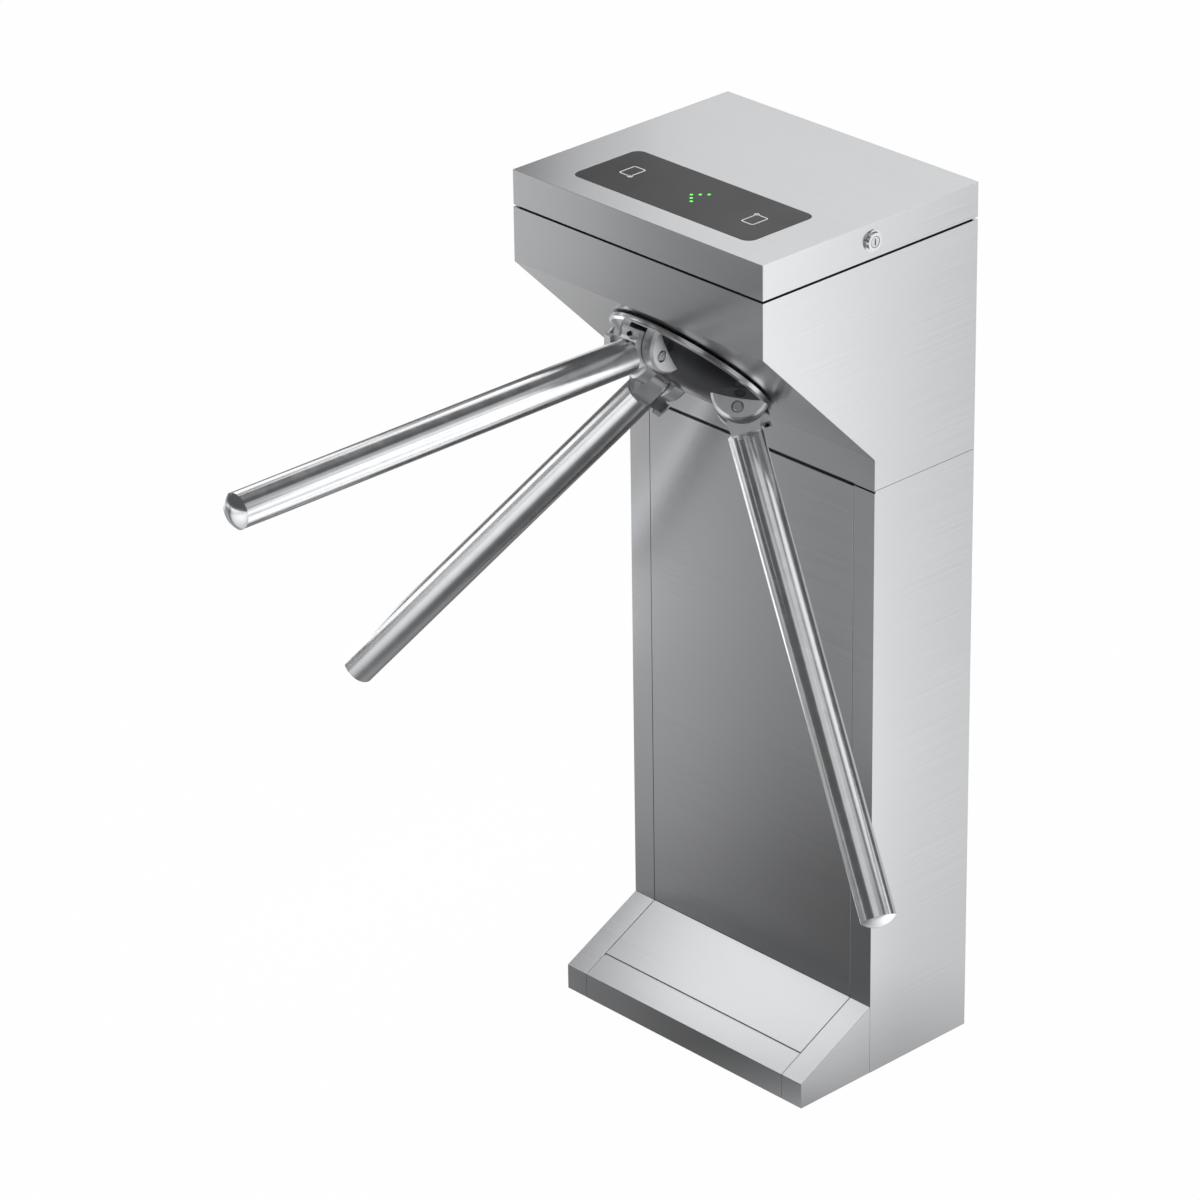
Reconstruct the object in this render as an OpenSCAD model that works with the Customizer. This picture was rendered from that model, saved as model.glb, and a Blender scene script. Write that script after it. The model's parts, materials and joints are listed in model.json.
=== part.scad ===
// Tripod turnstile with a slim cabinet, three drop arms and an indexing mechanism.
// Origin: on the floor, in the middle of the anchor pattern of the base plate.
// +Z up, the passage and the barrier arm lie towards -Y, the lock is on the +X side.

/* [Cabinet] */
// Width of the cabinet, head and column alike
body_w = 366; // [350:1:390]
// Depth of the head, front face to back
head_d = 313; // [306:1:320]
// Depth of the column
col_d = 150; // [142:1:158]
// Overall height to the top of the lid
total_h = 1000; // [990:1:1060]
// Height of the lid skirt
lid_h = 39; // [36:1:44]
// Height from the top of the lid down to the top edge of the slope
face_h = 103; // [98:1:108]
// Height of the upright lip below the slope
lip_h = 36; // [30:1:40]
// Tilt of the slope that carries the rotor
slope_deg = 45; // [43:0.5:46]
// Thickness of the stainless sheet
sheet_t = 1.5; // [1.2:0.1:1.8]
// Inward flange on the rims of head and column
flange_w = 14; // [12:1:16]
// Shadow gap between lid and head
lid_gap = 2.5; // [2.2:0.1:3]
// Gap at the seam between head and column
seam_gap = 0.5; // [0.3:0.1:0.8]
// Gap above the front panel, under the head
panel_gap = 2.5; // [2:0.1:4]
// Gap round the removable panels
reveal = 0.6; // [0.4:0.1:1]
// Width of the stiles beside the front panel
stile_w = 30; // [26:1:34]

/* [Foot] */
// Depth of the footprint, foot and column together
foot_d = 256; // [244:1:270]
// Height of the front edge of the foot
foot_lip_h = 30; // [26:1:34]
// Height at which the foot meets the column
foot_top_h = 82.5; // [76:0.5:90]
// Distance from the front of the foot to the cover panel
cover_inset = 29; // [24:1:36]
// Base plate thickness
base_t = 8; // [6:1:10]
// Anchor hole spacing across the cabinet
anchor_x = 260; // [240:1:280]
// Anchor hole spacing front to back
anchor_y = 150; // [136:1:160]
// Anchor hole diameter
anchor_d = 14; // [12:1:18]
// Cable entry hole diameter in the base plate
cable_hole_d = 50; // [44:1:60]

/* [Lid] */
// Display window, long side
window_w = 260; // [240:1:270]
// Display window, short side
window_d = 96; // [84:1:100]
// Corner radius of the display window
window_r = 11; // [8:1:14]
// Distance from the front of the lid to the middle of the window
window_y = 81; // [76:1:90]
// Thickness of the display window
window_t = 3; // [2.5:0.5:4]
// Spacing of the arrow lamps along each axis
lamp_pitch = 6.4; // [6:0.1:7]
// Diameter of an arrow lamp
lamp_d = 3.4; // [3:0.1:3.8]
// Diameter of the lid hinge pins
hinge_pin_d = 4; // [3.6:0.1:4.2]
// Distance of the two lid hinges from the middle
hinge_off = 92; // [84:1:100]
// Diameter of the lock barrel
lock_d = 19; // [18:0.5:20]
// Diameter of the lock plug that turns
plug_d = 12; // [11:0.5:12.5]

/* [Rotor] */
// Distance from the top edge of the slope to the rotor axis, along the slope
rotor_drop = 112.5; // [110:0.5:115]
// Radius of the rotor hub
hub_r = 96; // [94:1:99]
// Thickness of the hub rim
rim_t = 4.5; // [4:0.1:5]
// Running gap between hub and slope
rim_gap = 2.5; // [2.2:0.1:3.5]
// Height of the hub dome over its rim
dome_rise = 24.5; // [23:0.5:26]
// Distance of the arm pivots from the rotor axis
pin_r = 71.5; // [70:0.5:73]
// Height of the arm pivots over the slope
pin_h = 25.5; // [25:0.5:27]
// Diameter of the arm pivot pins
pin_d = 12.5; // [11.5:0.5:13]
// Radius of the clevis ears
ear_r = 31; // [30:0.2:31.6]
// Thickness of one clevis ear
ear_t = 14; // [13:0.5:15]
// Width of the slot between the ears
slot_w = 24.5; // [23.5:0.5:25.5]
// Width of the bevel round the ears
ear_bevel = 2.6; // [1.6:0.2:3]

/* [Arms] */
// Outer diameter of the arm tubes
tube_d = 38; // [36:0.5:40]
// Wall of the arm tubes
tube_wall = 1.5; // [1.2:0.1:2]
// Distance from the pivot to the end of the tube
arm_len = 549; // [480:1:580]
// Distance from the pivot to the start of the tube
root_len = 25; // [24.5:0.5:27]
// Distance from the pivot to the end of the side flange
flange_end = 30; // [29:0.5:34]
// Height of the domed end cap
cap_h = 8; // [6:0.5:10]

/* [Mechanism] */
// Diameter of the main shaft
shaft_d = 30; // [28:0.5:31]
// Outer diameter of the ball bearings
bearing_d = 55; // [53:0.5:56]
// Width of the ball bearings
bearing_w = 13; // [12:0.5:14]
// Height of the chassis plate over the slope
plate_z = 34; // [33:0.5:36]
// Thickness of the chassis plate
plate_t = 8; // [7:0.5:9]
// Radius of the index wheel
index_r = 60; // [58:0.5:60.5]
// Gear module
gear_m = 1.5; // [1.44:0.01:1.54]
// Teeth of the main gear
main_teeth = 72; // [72]
// Teeth of the centring gear and of the damper pinion
small_teeth = 24; // [24]
// Backlash between the gears
backlash = 0.3; // [0.25:0.05:0.4]
// Radius of the crank that the centring spring pulls
crank_r = 11; // [9:0.5:12]
// Swing of a locking pawl into the index wheel
pawl_swing = 12; // [11:0.5:12]
// Width of the control board
ctrl_w = 160; // [140:1:180]
// Height of the control board
ctrl_h = 120; // [110:1:126]
// Depth of the lamp board below the top of the lid
lamp_depth = 17; // [15:0.5:19]
// Wire diameter of the centring spring
wire_d = 1.8; // [1.6:0.1:2]
// Turns of the centring spring
spring_turns = 14; // [12:1:16]

/* [Hidden] */
$fn = 64;
eps = 0.01;
STEEL = "lightsteelblue";
DARK = [0.25, 0.25, 0.27];

// Cabinet planes
half_w = body_w / 2;
back_y = foot_d / 2;
foot_y = -foot_d / 2;
head_y = back_y - head_d;
col_y = back_y - col_d;
head_top = total_h - lid_h - lid_gap;
slope_top = total_h - face_h;
slope_low = slope_top - (head_d - col_d) * tan(slope_deg);
seam_z = slope_low - lip_h;
inner_w = half_w - sheet_t;
// Rise of an inner corner where the slope meets an upright sheet
corner_rise = sheet_t * (1 / cos(slope_deg) - tan(slope_deg));
// Slope of the foot and where its cover starts
foot_rise = (foot_top_h - foot_lip_h) / (col_y - foot_y);
foot_deg = atan(foot_rise);
cover_y = foot_y + cover_inset;
cover_z = foot_lip_h + cover_inset * foot_rise;
panel_w = body_w - 2 * stile_w - 2 * reveal;
panel_low = foot_top_h + reveal;
panel_top = seam_z - panel_gap;

// Rotor frame: its Z runs into the head, square to the slope, its Y down the slope
axis_y = head_y + rotor_drop * cos(slope_deg);
axis_z = slope_top - rotor_drop * sin(slope_deg);
arm_deg = 90 - slope_deg;
dome_r = (hub_r * hub_r + dome_rise * dome_rise) / (2 * dome_rise);
rim_face = -rim_gap - rim_t;
dome_top = rim_face - dome_rise;
core_t = 5.5;
core_face = -rim_gap - core_t;
core_r = 80;
ear_w = ear_t + slot_w / 2;
ear_back = 15.8;
ear_side = 7.2;
tongue_w = slot_w - 1.5;
bridge_r = hub_r - 2.6;
bridge_h = rim_gap + rim_t + 2.4;
tongue_r = 12;
slot_floor = 13.5;
seat_tilt = asin((pin_r - 4.8) / dome_r);
STATIONS = [0, -120, 120];
// Distances of the hub screws from the rotor axis
screw_rows = [pin_r - 21.5, pin_r - 3.5];
tube_bore = tube_d / 2 - tube_wall;
spigot_len = 30;
flange_t = 2;

// Mechanism levels along the rotor axis
nose_z = 10;
housing_r = bearing_d / 2 + 8.5;
housing_flange_r = housing_r + 10;
housing_flange_t = 8;
rear_z = plate_z + plate_t;
housing_end = rear_z + bearing_w + 1.5;
wheel_z = housing_end + 4;
wheel_t = 10;
gear_z = wheel_z + wheel_t + 8;
gear_t = 9;
disc_z = gear_z + gear_t + 6;
disc_t = 2;
disc_r = 45;
shaft_end = disc_z + disc_t + 12;
main_r = gear_m * main_teeth / 2;
small_r = gear_m * small_teeth / 2;
gear_dist = main_r + small_r;
damper_deg = 135;
damper_h = wheel_z - rear_z - 2.5;
post_r = 5;
crank_z = gear_z + gear_t;
spring_z = crank_z + 7;

spring_r = 7;
notch_count = 6;
notch_depth = 10;
notch_w = 12;
pawl_z = wheel_z + 1;
pawl_t = 8;
// Pawl pivot, from the notch: outwards along its radius and along the rim
pawl_out = 56;
pawl_along = 55;
pawl_at = -30;
pivot_x = pawl_out * cos(pawl_at) - pawl_along * sin(pawl_at);
pivot_y = pawl_out * sin(pawl_at) + pawl_along * cos(pawl_at);
tail_len = 34;
link_z = pawl_z - 6;
plunger_z = rear_z + 14;
plate_half = half_w - 8;
plate_up = 75;
// The rails end above the bottom flange of the head
plate_down = (axis_z - seam_z - seam_gap - sheet_t + (plate_z - 28) * cos(slope_deg)) / sin(slope_deg) - 3;

spring_post_y = plate_down - 8;

// Lid hinge axis and lock axis
hinge_x = -half_w + 5.5;
lid_low = total_h - lid_h;
hinge_z = lid_low + 6.5;
knuckle_r = hinge_pin_d / 2 + 1.2;
knuckle_len = 20;
leaf_len = 12;
lid_mid_y = (head_y + back_y) / 2;
lock_y = lid_mid_y;
lock_z = total_h - lid_h / 2;
cam_x = half_w - 27;
window_mid_y = head_y + window_y;

// Moves children into the rotor frame
module at_rotor() {
    translate([0, axis_y, axis_z])
        rotate([-slope_deg, 0, 0])
            children();
}

// Moves children to an arm pivot: X along the arm, Z along the pivot pin
module at_arm(station) {
    at_rotor()
        rotate([0, 0, station])
            translate([0, -pin_r, -pin_h])
                rotate([180 - arm_deg, 0, 0])
                    rotate([0, -90, 0])
                        children();
}

// Turns an outline drawn in Y and Z into a body that runs along X
module along_x(width) {
    translate([-width / 2, 0, 0])
        rotate([90, 0, 90])
            linear_extrude(width)
                children();
}

// Rectangle with round corners, drawn about its middle
module rounded(width, depth, radius) {
    for (x = [-1, 1], y = [-1, 1])
        translate([x * (width / 2 - radius), y * (depth / 2 - radius)])
            circle(radius);
    square([width - 2 * radius, depth], center = true);
    square([width, depth - 2 * radius], center = true);
}

// Slab between two heights
module slab(x0, x1, y0, y1, z0, z1) {
    translate([x0, y0, z0])
        cube([x1 - x0, y1 - y0, z1 - z0]);
}

// Plate on the floor, and two angles on it that hold the side walls of the column
module base_plate() {
    cleat_t = 3;
    cleat_h = 40;
    cleat_foot = 18;
    color(DARK) {
        difference() {
            slab(-inner_w + 4, inner_w - 4, foot_y + 6, back_y - sheet_t - 2, 0, base_t);
            for (x = [-1, 1], y = [-1, 1])
                translate([x * anchor_x / 2, y * anchor_y / 2, -1])
                    cylinder(h = base_t + 6, d = anchor_d);
            translate([0, (col_y + back_y) / 2, -1])
                cylinder(h = base_t + 2, d = cable_hole_d);
        }
        for (side = [-1, 1])
            translate([0, (col_y + back_y) / 2, base_t + 0.05])
                rotate([0, 0, side < 0 ? 180 : 0]) {
                    slab(inner_w - cleat_t, inner_w, -col_d / 2 + 25, col_d / 2 - 25, 0, cleat_h);
                    slab(inner_w - cleat_foot, inner_w - eps, -col_d / 2 + 25, col_d / 2 - 25,
                        0, cleat_t);
                }
    }
}

module cable_grommet() {
    lip = 4;
    color("dimgray")
    translate([0, (col_y + back_y) / 2, 0])
        difference() {
            union() {
                translate([0, 0, 1])
                    cylinder(h = base_t + 1, d = cable_hole_d - 0.4);
                translate([0, 0, base_t])
                    cylinder(h = 3, d = cable_hole_d + 2 * lip);
            }
            translate([0, 0, -1])
                cylinder(h = base_t + 6, d = cable_hole_d - 4 * lip);
        }
}

module column_shell() {
    return_w = 12;
    rail_h = 26;
    color(STEEL)
    union() {
        difference() {
            slab(-half_w, half_w, col_y, back_y, 0, seam_z);
            slab(-inner_w, inner_w, col_y + sheet_t, back_y - sheet_t, -1, seam_z - sheet_t);
            // Opening in the top, inside the flange
            slab(-half_w + flange_w, half_w - flange_w, col_y + flange_w, back_y - flange_w,
                seam_z - 10, seam_z + 1);
            // Front opening for the panel, and room over the base plate
            slab(-half_w + stile_w, half_w - stile_w, col_y - 1, col_y + 10, -1, seam_z + 1);
            slab(-inner_w, inner_w, col_y - 1, col_y + sheet_t + eps, -1, base_t + 1);
            slab(-half_w - 1, half_w + 1, col_y - 1, col_y + sheet_t, panel_top, seam_z + 1);
        }
        // Folded returns of the stiles
        for (side = [-1, 1])
            translate([side * (half_w - stile_w + sheet_t / 2), col_y + return_w / 2, 0])
                translate([0, 0, (panel_top + base_t + 1) / 2])
                    cube([sheet_t, return_w, panel_top - base_t - 1], center = true);
        // Cross rail that closes the opening behind the foot
        slab(-half_w + stile_w - 5, half_w - stile_w + 5, col_y + sheet_t + 0.2, col_y + 2 * sheet_t + 0.2,
            foot_top_h - rail_h, foot_top_h - 1);
    }
}

module front_panel() {
    fold = 9;
    color(STEEL)
    difference() {
        slab(-panel_w / 2, panel_w / 2, col_y, col_y + fold, panel_low, panel_top - 1);
        slab(-panel_w / 2 + sheet_t, panel_w / 2 - sheet_t, col_y + sheet_t, col_y + fold + 1,
            panel_low + sheet_t, panel_top - 1 - sheet_t);
    }
}

// Side view of the foot, grown inwards by a wall
module foot_outline(wall) {
    drop = wall / cos(foot_deg);
    polygon([
        [foot_y + wall, -2 * wall],
        [foot_y + wall, foot_lip_h + wall * foot_rise - drop],
        [col_y + wall * 4 * sign(wall), foot_top_h + wall * 4 * foot_rise - drop],
        [col_y + wall * 4 * sign(wall), -2 * wall]
    ]);
}

module foot_cheek(side) {
    mid_x = side * (half_w - stile_w / 2);
    color(STEEL)
    difference() {
        translate([mid_x, 0, 0])
            along_x(stile_w)
                foot_outline(0);
        translate([mid_x, 0, 0])
            along_x(stile_w - 2 * sheet_t)
                foot_outline(sheet_t);
        // The inner wall stops over the base plate
        slab(min(side * (half_w - stile_w - 1), side * inner_w),
            max(side * (half_w - stile_w - 1), side * inner_w),
            foot_y + sheet_t, col_y + 1, -1, base_t + 1);
    }
}

module left_foot_cheek() { foot_cheek(-1); }

module right_foot_cheek() { foot_cheek(1); }

module kick_plate() {
    ledge = 12;
    drop = sheet_t / cos(foot_deg);
    width = body_w - 2 * stile_w - 2 * 0.3;
    color(STEEL)
    along_x(width)
        polygon([
            [foot_y, 0],
            [foot_y, foot_lip_h],
            [cover_y - 1, cover_z - foot_rise],
            [cover_y - 1, cover_z - foot_rise - drop],
            [cover_y + ledge, cover_z + ledge * foot_rise - drop - 0.3],
            [cover_y + ledge, cover_z + ledge * foot_rise - 2 * drop - 0.3],
            [cover_y - 2, cover_z - 2 * foot_rise - 2 * drop - 0.3],
            [foot_y + sheet_t, foot_lip_h + sheet_t * foot_rise - drop],
            [foot_y + sheet_t, 0]
        ]);
}

module foot_cover() {
    drop = sheet_t / cos(foot_deg);
    hem = 14;
    end_y = col_y - 0.3;
    end_z = foot_top_h - 0.3 * foot_rise;
    start_y = cover_y + 1;
    start_z = cover_z + foot_rise;
    color(STEEL)
    along_x(panel_w)
        polygon([
            [start_y, start_z - drop],
            [start_y, start_z],
            [end_y, end_z],
            [col_y + sheet_t, end_z],
            [col_y + sheet_t, end_z - hem],
            [col_y, end_z - hem],
            [col_y, end_z - drop - 0.5],
            [end_y - 1, end_z - drop - foot_rise]
        ]);
}

// Side view of the head, shrunk by a wall
module head_outline(wall, top, low) {
    rise = wall * (1 / cos(slope_deg) - tan(slope_deg));
    polygon([
        [head_y + wall, top],
        [head_y + wall, slope_top + rise],
        [col_y + wall, slope_low + rise],
        [col_y + wall, low],
        [back_y - wall, low],
        [back_y - wall, top]
    ]);
}

module head_shell() {
    low = seam_z + seam_gap;
    color(STEEL)
    difference() {
        along_x(body_w)
            head_outline(0, head_top, low);
        along_x(body_w - 2 * sheet_t)
            head_outline(sheet_t, head_top - sheet_t, low + sheet_t);
        // Openings at top and bottom, inside the flanges
        slab(-half_w + flange_w, half_w - flange_w, head_y + flange_w, back_y - flange_w,
            head_top - 10, head_top + 1);
        slab(-half_w + flange_w, half_w - flange_w, col_y + flange_w, back_y - flange_w,
            low - 1, low + 10);
        // Slots for the lid hinges
        for (side = [-1, 1])
            translate([-inner_w + 1.2, lid_mid_y + side * hinge_off, head_top])
                cube([2.4 + eps, knuckle_len + 0.6, 10], center = true);
        at_rotor()
            translate([0, 0, -1])
                cylinder(h = sheet_t + 2, r = housing_r + 4);
    }
}

module lid_seal() {
    inset = 4;
    strip = 7;
    start = 20;
    height = lid_gap - 0.3;
    color("black")
    difference() {
        slab(-half_w + start, half_w - inset, head_y + inset, back_y - inset,
            head_top, head_top + height);
        slab(-half_w + start - 1, half_w - inset - strip, head_y + inset + strip,
            back_y - inset - strip, head_top - 1, head_top + height + 1);
    }
}

// Fixed half of the two lid hinges, with their pins
module hinge_brackets() {
    leaf_t = 2;
    leaf_low = head_top - 28;
    color(STEEL)
    for (side = [-1, 1])
        translate([0, lid_mid_y + side * hinge_off, 0]) {
            slab(-inner_w, -inner_w + leaf_t, -knuckle_len / 2, knuckle_len / 2, leaf_low, hinge_z);
            translate([hinge_x, 0, hinge_z])
                rotate([90, 0, 0]) {
                    cylinder(h = knuckle_len, r = knuckle_r, center = true);
                    cylinder(h = knuckle_len + 2 * leaf_len + 0.8, d = hinge_pin_d, center = true);
                }
        }
}

// Moving half of the two lid hinges
module hinge_leaves() {
    leaf_t = 1.5;
    color(STEEL)
    difference() {
        for (side = [-1, 1], end = [-1, 1])
            translate([0, lid_mid_y + side * hinge_off, 0])
                translate([0, end * (knuckle_len / 2 + 0.4 + leaf_len / 2), 0]) {
                    translate([hinge_x, 0, hinge_z])
                        rotate([90, 0, 0])
                            cylinder(h = leaf_len, r = knuckle_r, center = true);
                    slab(-inner_w, -inner_w + leaf_t, -leaf_len / 2, leaf_len / 2,
                        hinge_z, hinge_z + 26);
                }
        for (side = [-1, 1])
            translate([hinge_x, lid_mid_y + side * hinge_off, hinge_z])
                rotate([90, 0, 0])
                    cylinder(h = 60, d = hinge_pin_d + 0.1, center = true);
    }
}

module lid() {
    notch_h = 13;
    color(STEEL)
    difference() {
        slab(-half_w, half_w, head_y, back_y, lid_low, total_h);
        slab(-inner_w, inner_w, head_y + sheet_t, back_y - sheet_t, lid_low + sheet_t,
            total_h - sheet_t);
        // The hinge side has no return
        slab(-inner_w, half_w - 11, head_y + 11, back_y - 11, lid_low - 1, lid_low + 10);
        slab(-inner_w, -half_w + 20, head_y + sheet_t, back_y - sheet_t, lid_low - 1, lid_low + 10);
        // Notches that clear the fixed hinge brackets
        for (side = [-1, 1])
            translate([-half_w, lid_mid_y + side * hinge_off, lid_low])
                cube([8, knuckle_len + 1.6, 2 * notch_h], center = true);
        // Cut-out of the display window and hole of the lock
        translate([0, window_mid_y, total_h - 10])
            linear_extrude(12)
                rounded(window_w + 0.3, window_d + 0.3, window_r);
        translate([half_w - 5, lock_y, lock_z])
            rotate([0, 90, 0])
                cylinder(h = 10, d = lock_d + 0.2);
    }
}

// Places children at each lamp of the arrow
module at_lamps() {
    for (step = [[0, 0], [1, 1], [2, 2], [1, -1], [2, -2]])
        translate([lamp_pitch * (step[0] - 0.2), window_mid_y + lamp_pitch * step[1], 0])
            children();
}

module display_window() {
    lip = 5;
    color([0.1, 0.1, 0.11])
    difference() {
        union() {
            translate([0, window_mid_y, total_h - window_t])
                linear_extrude(window_t + 0.1)
                    rounded(window_w, window_d, window_r);
            translate([0, window_mid_y, total_h - sheet_t - 1.5])
                linear_extrude(1.5)
                    rounded(window_w + 2 * lip, window_d + 2 * lip, window_r + lip);
        }
        at_lamps()
            translate([0, 0, total_h - 10])
                cylinder(h = 20, d = lamp_d + 0.1);
    }
}

module led_board() {
    board_z = total_h - lamp_depth;
    post_x = window_w / 2 - 12;
    post_y = window_d / 2 - 12;
    color("darkgreen")
    union() {
        translate([0, window_mid_y, board_z])
            linear_extrude(1.6)
                rounded(window_w - 10, window_d - 10, 4);
        for (x = [-1, 1], y = [-1, 1])
            translate([x * post_x, window_mid_y + y * post_y, board_z])
                cylinder(h = total_h - window_t - board_z, d = 6);
        // Cable connector on the underside
        translate([-60, window_mid_y, board_z - 4])
            cube([22, 10, 8 + eps], center = true);
    }
}

module led_indicators() {
    board_top = total_h - lamp_depth + 1.6;
    color("lime")
    at_lamps()
        translate([0, 0, board_top]) {
            cylinder(h = total_h + 0.2 - board_top, d = lamp_d);
            cylinder(h = 4, d = lamp_d + 1.6);
        }
}

module lock_body() {
    proud = 4.4;
    color("silver")
    translate([half_w, lock_y, lock_z])
        rotate([0, 90, 0])
            difference() {
                union() {
                    cylinder(h = 1.6, d = lock_d + 4.5);
                    cylinder(h = proud, d1 = lock_d + 2.5, d2 = lock_d + 0.5);
                    translate([0, 0, -22])
                        cylinder(h = 22 + eps, d = lock_d);
                    // Nut that clamps the lock to the skirt
                    translate([0, 0, -sheet_t - 5])
                        cylinder(h = 5, d = lock_d + 8, $fn = 6);
                }
                translate([0, 0, -40])
                    cylinder(h = 60, d = plug_d + 0.1);
            }
}

// Plug of the lock with the hooked cam on its inner end, at rest unlocked
module lock_cam() {
    plug_front = half_w + 4.2;
    color("gainsboro")
    difference() {
        union() {
            translate([cam_x - 2, lock_y, lock_z])
                rotate([0, 90, 0])
                    cylinder(h = plug_front - cam_x + 2, d = plug_d);
            translate([cam_x - 2, lock_y, lock_z])
                rotate([90, 0, 90])
                    linear_extrude(2.5) {
                        circle(8);
                        translate([0, -5])
                            square([31, 10]);
                        translate([26, -18])
                            square([5, 20]);
                    }
        }
        // Keyway
        translate([plug_front, lock_y, lock_z])
            cube([6, 1.6, 7], center = true);
    }
}

module lock_strike() {
    tab_t = 1.5;
    color(STEEL)
    translate([0, lock_y, 0]) {
        slab(cam_x - 8, half_w - flange_w, -25, -10, head_top - tab_t, head_top);
        slab(half_w - flange_w - 2, half_w - flange_w, -25, -10, head_top - 12, head_top - tab_t);
        slab(half_w - flange_w, inner_w, -25, -10, head_top - sheet_t - 3, head_top - sheet_t);
        slab(half_w - flange_w - 2, half_w - flange_w + eps, -25, -10,
            head_top - sheet_t - 3, head_top - sheet_t);
    }
}

// Angle that carries the chassis plate on a side wall
module mount_rail(side) {
    leg_t = 3;
    leg = 28;
    color(DARK)
    at_rotor() {
        slab(min(side * inner_w, side * (inner_w - leg_t)),
            max(side * inner_w, side * (inner_w - leg_t)),
            -plate_up, plate_down, plate_z - leg, plate_z);
        slab(min(side * (inner_w - leg), side * (inner_w - eps)),
            max(side * (inner_w - leg), side * (inner_w - eps)),
            -plate_up, plate_down, plate_z - leg_t, plate_z);
    }
}

module left_mount_rail() { mount_rail(-1); }

module right_mount_rail() { mount_rail(1); }

module chassis_plate() {
    color("silver")
    at_rotor()
        difference() {
            union() {
                slab(-plate_half, plate_half, -plate_up, plate_down, plate_z, rear_z);
                // Posts of the pawls, the centring gear and the spring
                for (side = [-1, 1])
                    translate([side * pivot_x, pivot_y, rear_z - eps])
                        cylinder(h = pawl_z + pawl_t + 2 - rear_z, r = post_r);
                translate([0, gear_dist, rear_z - eps])
                    cylinder(h = crank_z - 2 - rear_z, r = post_r);
                translate([0, gear_dist, rear_z - eps])
                    cylinder(h = gear_z - 5 - rear_z, r = post_r + 4);
                for (side = [-1, 1])
                    translate([side * pivot_x, pivot_y, rear_z - eps])
                        cylinder(h = pawl_z - 0.5 - rear_z, r = post_r + 3);
                translate([0, spring_post_y, rear_z - eps])
                    cylinder(h = spring_z + 5 - rear_z, r = 4);
            }
            translate([0, 0, plate_z - 1])
                cylinder(h = plate_t + 2, r = housing_r + 0.2);
        }
}

module bearing_housing() {
    color("gray")
    at_rotor()
        difference() {
            union() {
                translate([0, 0, nose_z])
                    cylinder(h = rear_z + housing_flange_t - nose_z, r = housing_r);
                translate([0, 0, rear_z])
                    cylinder(h = housing_flange_t, r = housing_flange_r);
                translate([0, 0, rear_z])
                    cylinder(h = housing_end - rear_z, r = housing_r - 2);
            }
            translate([0, 0, nose_z - 1])
                cylinder(h = bearing_w + 3, d = bearing_d);
            translate([0, 0, housing_end - bearing_w - 1])
                cylinder(h = bearing_w + 3, d = bearing_d);
            translate([0, 0, nose_z])
                cylinder(h = 60, d = bearing_d - 7);
            for (turn = [0:5])
                rotate([0, 0, 60 * turn + 30])
                    translate([housing_r + 5, 0, rear_z - 1])
                        cylinder(h = housing_flange_t + 2, d = 5.5);
        }
}

// One deep-groove ball bearing, front face at the origin
module bearing() {
    bore = shaft_d / 2 + 0.05;
    outer = bearing_d / 2 - 0.02;
    mid = (bore + outer) / 2;
    rotate_extrude()
        difference() {
            translate([bore, 0])
                square([outer - bore, bearing_w - 0.4]);
            // Shields set back between the rings
            for (z = [-1, bearing_w - 1.2])
                translate([mid - 4, z])
                    square([8, 1.8]);
        }
}

module shaft_bearings() {
    color("gainsboro")
    at_rotor() {
        translate([0, 0, nose_z + 2.2])
            bearing();
        translate([0, 0, housing_end - bearing_w - 0.8])
            bearing();
    }
}

module solenoid(side) {
    body_l = 54;
    body_w2 = 13;
    mid_x = side * (pivot_x + tail_len);
    start = pivot_y - 22;
    color("goldenrod")
    at_rotor()
        difference() {
            union() {
                // Steel frame, coil and mounting feet
                slab(mid_x - body_w2, mid_x + body_w2, start - body_l, start, rear_z, rear_z + 3);
                slab(mid_x - body_w2, mid_x + body_w2, start - 3, start, rear_z, plunger_z + 13);
                slab(mid_x - body_w2, mid_x + body_w2, start - body_l, start - body_l + 3,
                    rear_z, plunger_z + 13);
                translate([mid_x, start - body_l + 2, plunger_z])
                    rotate([-90, 0, 0])
                        cylinder(h = body_l - 4, r = 11.2);
                for (y = [start - 12, start - body_l + 12])
                    translate([mid_x, y, rear_z + 1.2])
                        cube([44, 9, 2.4], center = true);
            }
            translate([mid_x, start - body_l + 8, plunger_z])
                rotate([-90, 0, 0])
                    cylinder(h = body_l, r = 5.1);
        }
}

module left_solenoid() { solenoid(-1); }

module right_solenoid() { solenoid(1); }

// Solenoid plunger with the link that takes the tail pin of its pawl
module plunger(side) {
    tail_x = pivot_x + tail_len * cos(pawl_swing / 2);
    tail_y = pivot_y + tail_len * sin(pawl_swing / 2);
    rod_end = tail_y - 7;
    reach = 56;
    color("gainsboro")
    at_rotor()
        difference() {
            union() {
                translate([side * (pivot_x + tail_len), rod_end - reach, plunger_z])
                    rotate([-90, 0, 0])
                        cylinder(h = reach, r = 5);
                slab(side * (pivot_x + tail_len) - 5, side * (pivot_x + tail_len) + 5,
                    rod_end - 10, tail_y, plunger_z - 2, plunger_z + 2);
                translate([side * tail_x, tail_y, plunger_z - 2])
                    cylinder(h = 4, r = 6);
            }
            translate([side * tail_x, tail_y, plunger_z - 5])
                cylinder(h = 10, r = 2.7);
        }
}

module left_plunger() { plunger(-1); }

module right_plunger() { plunger(1); }

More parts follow.
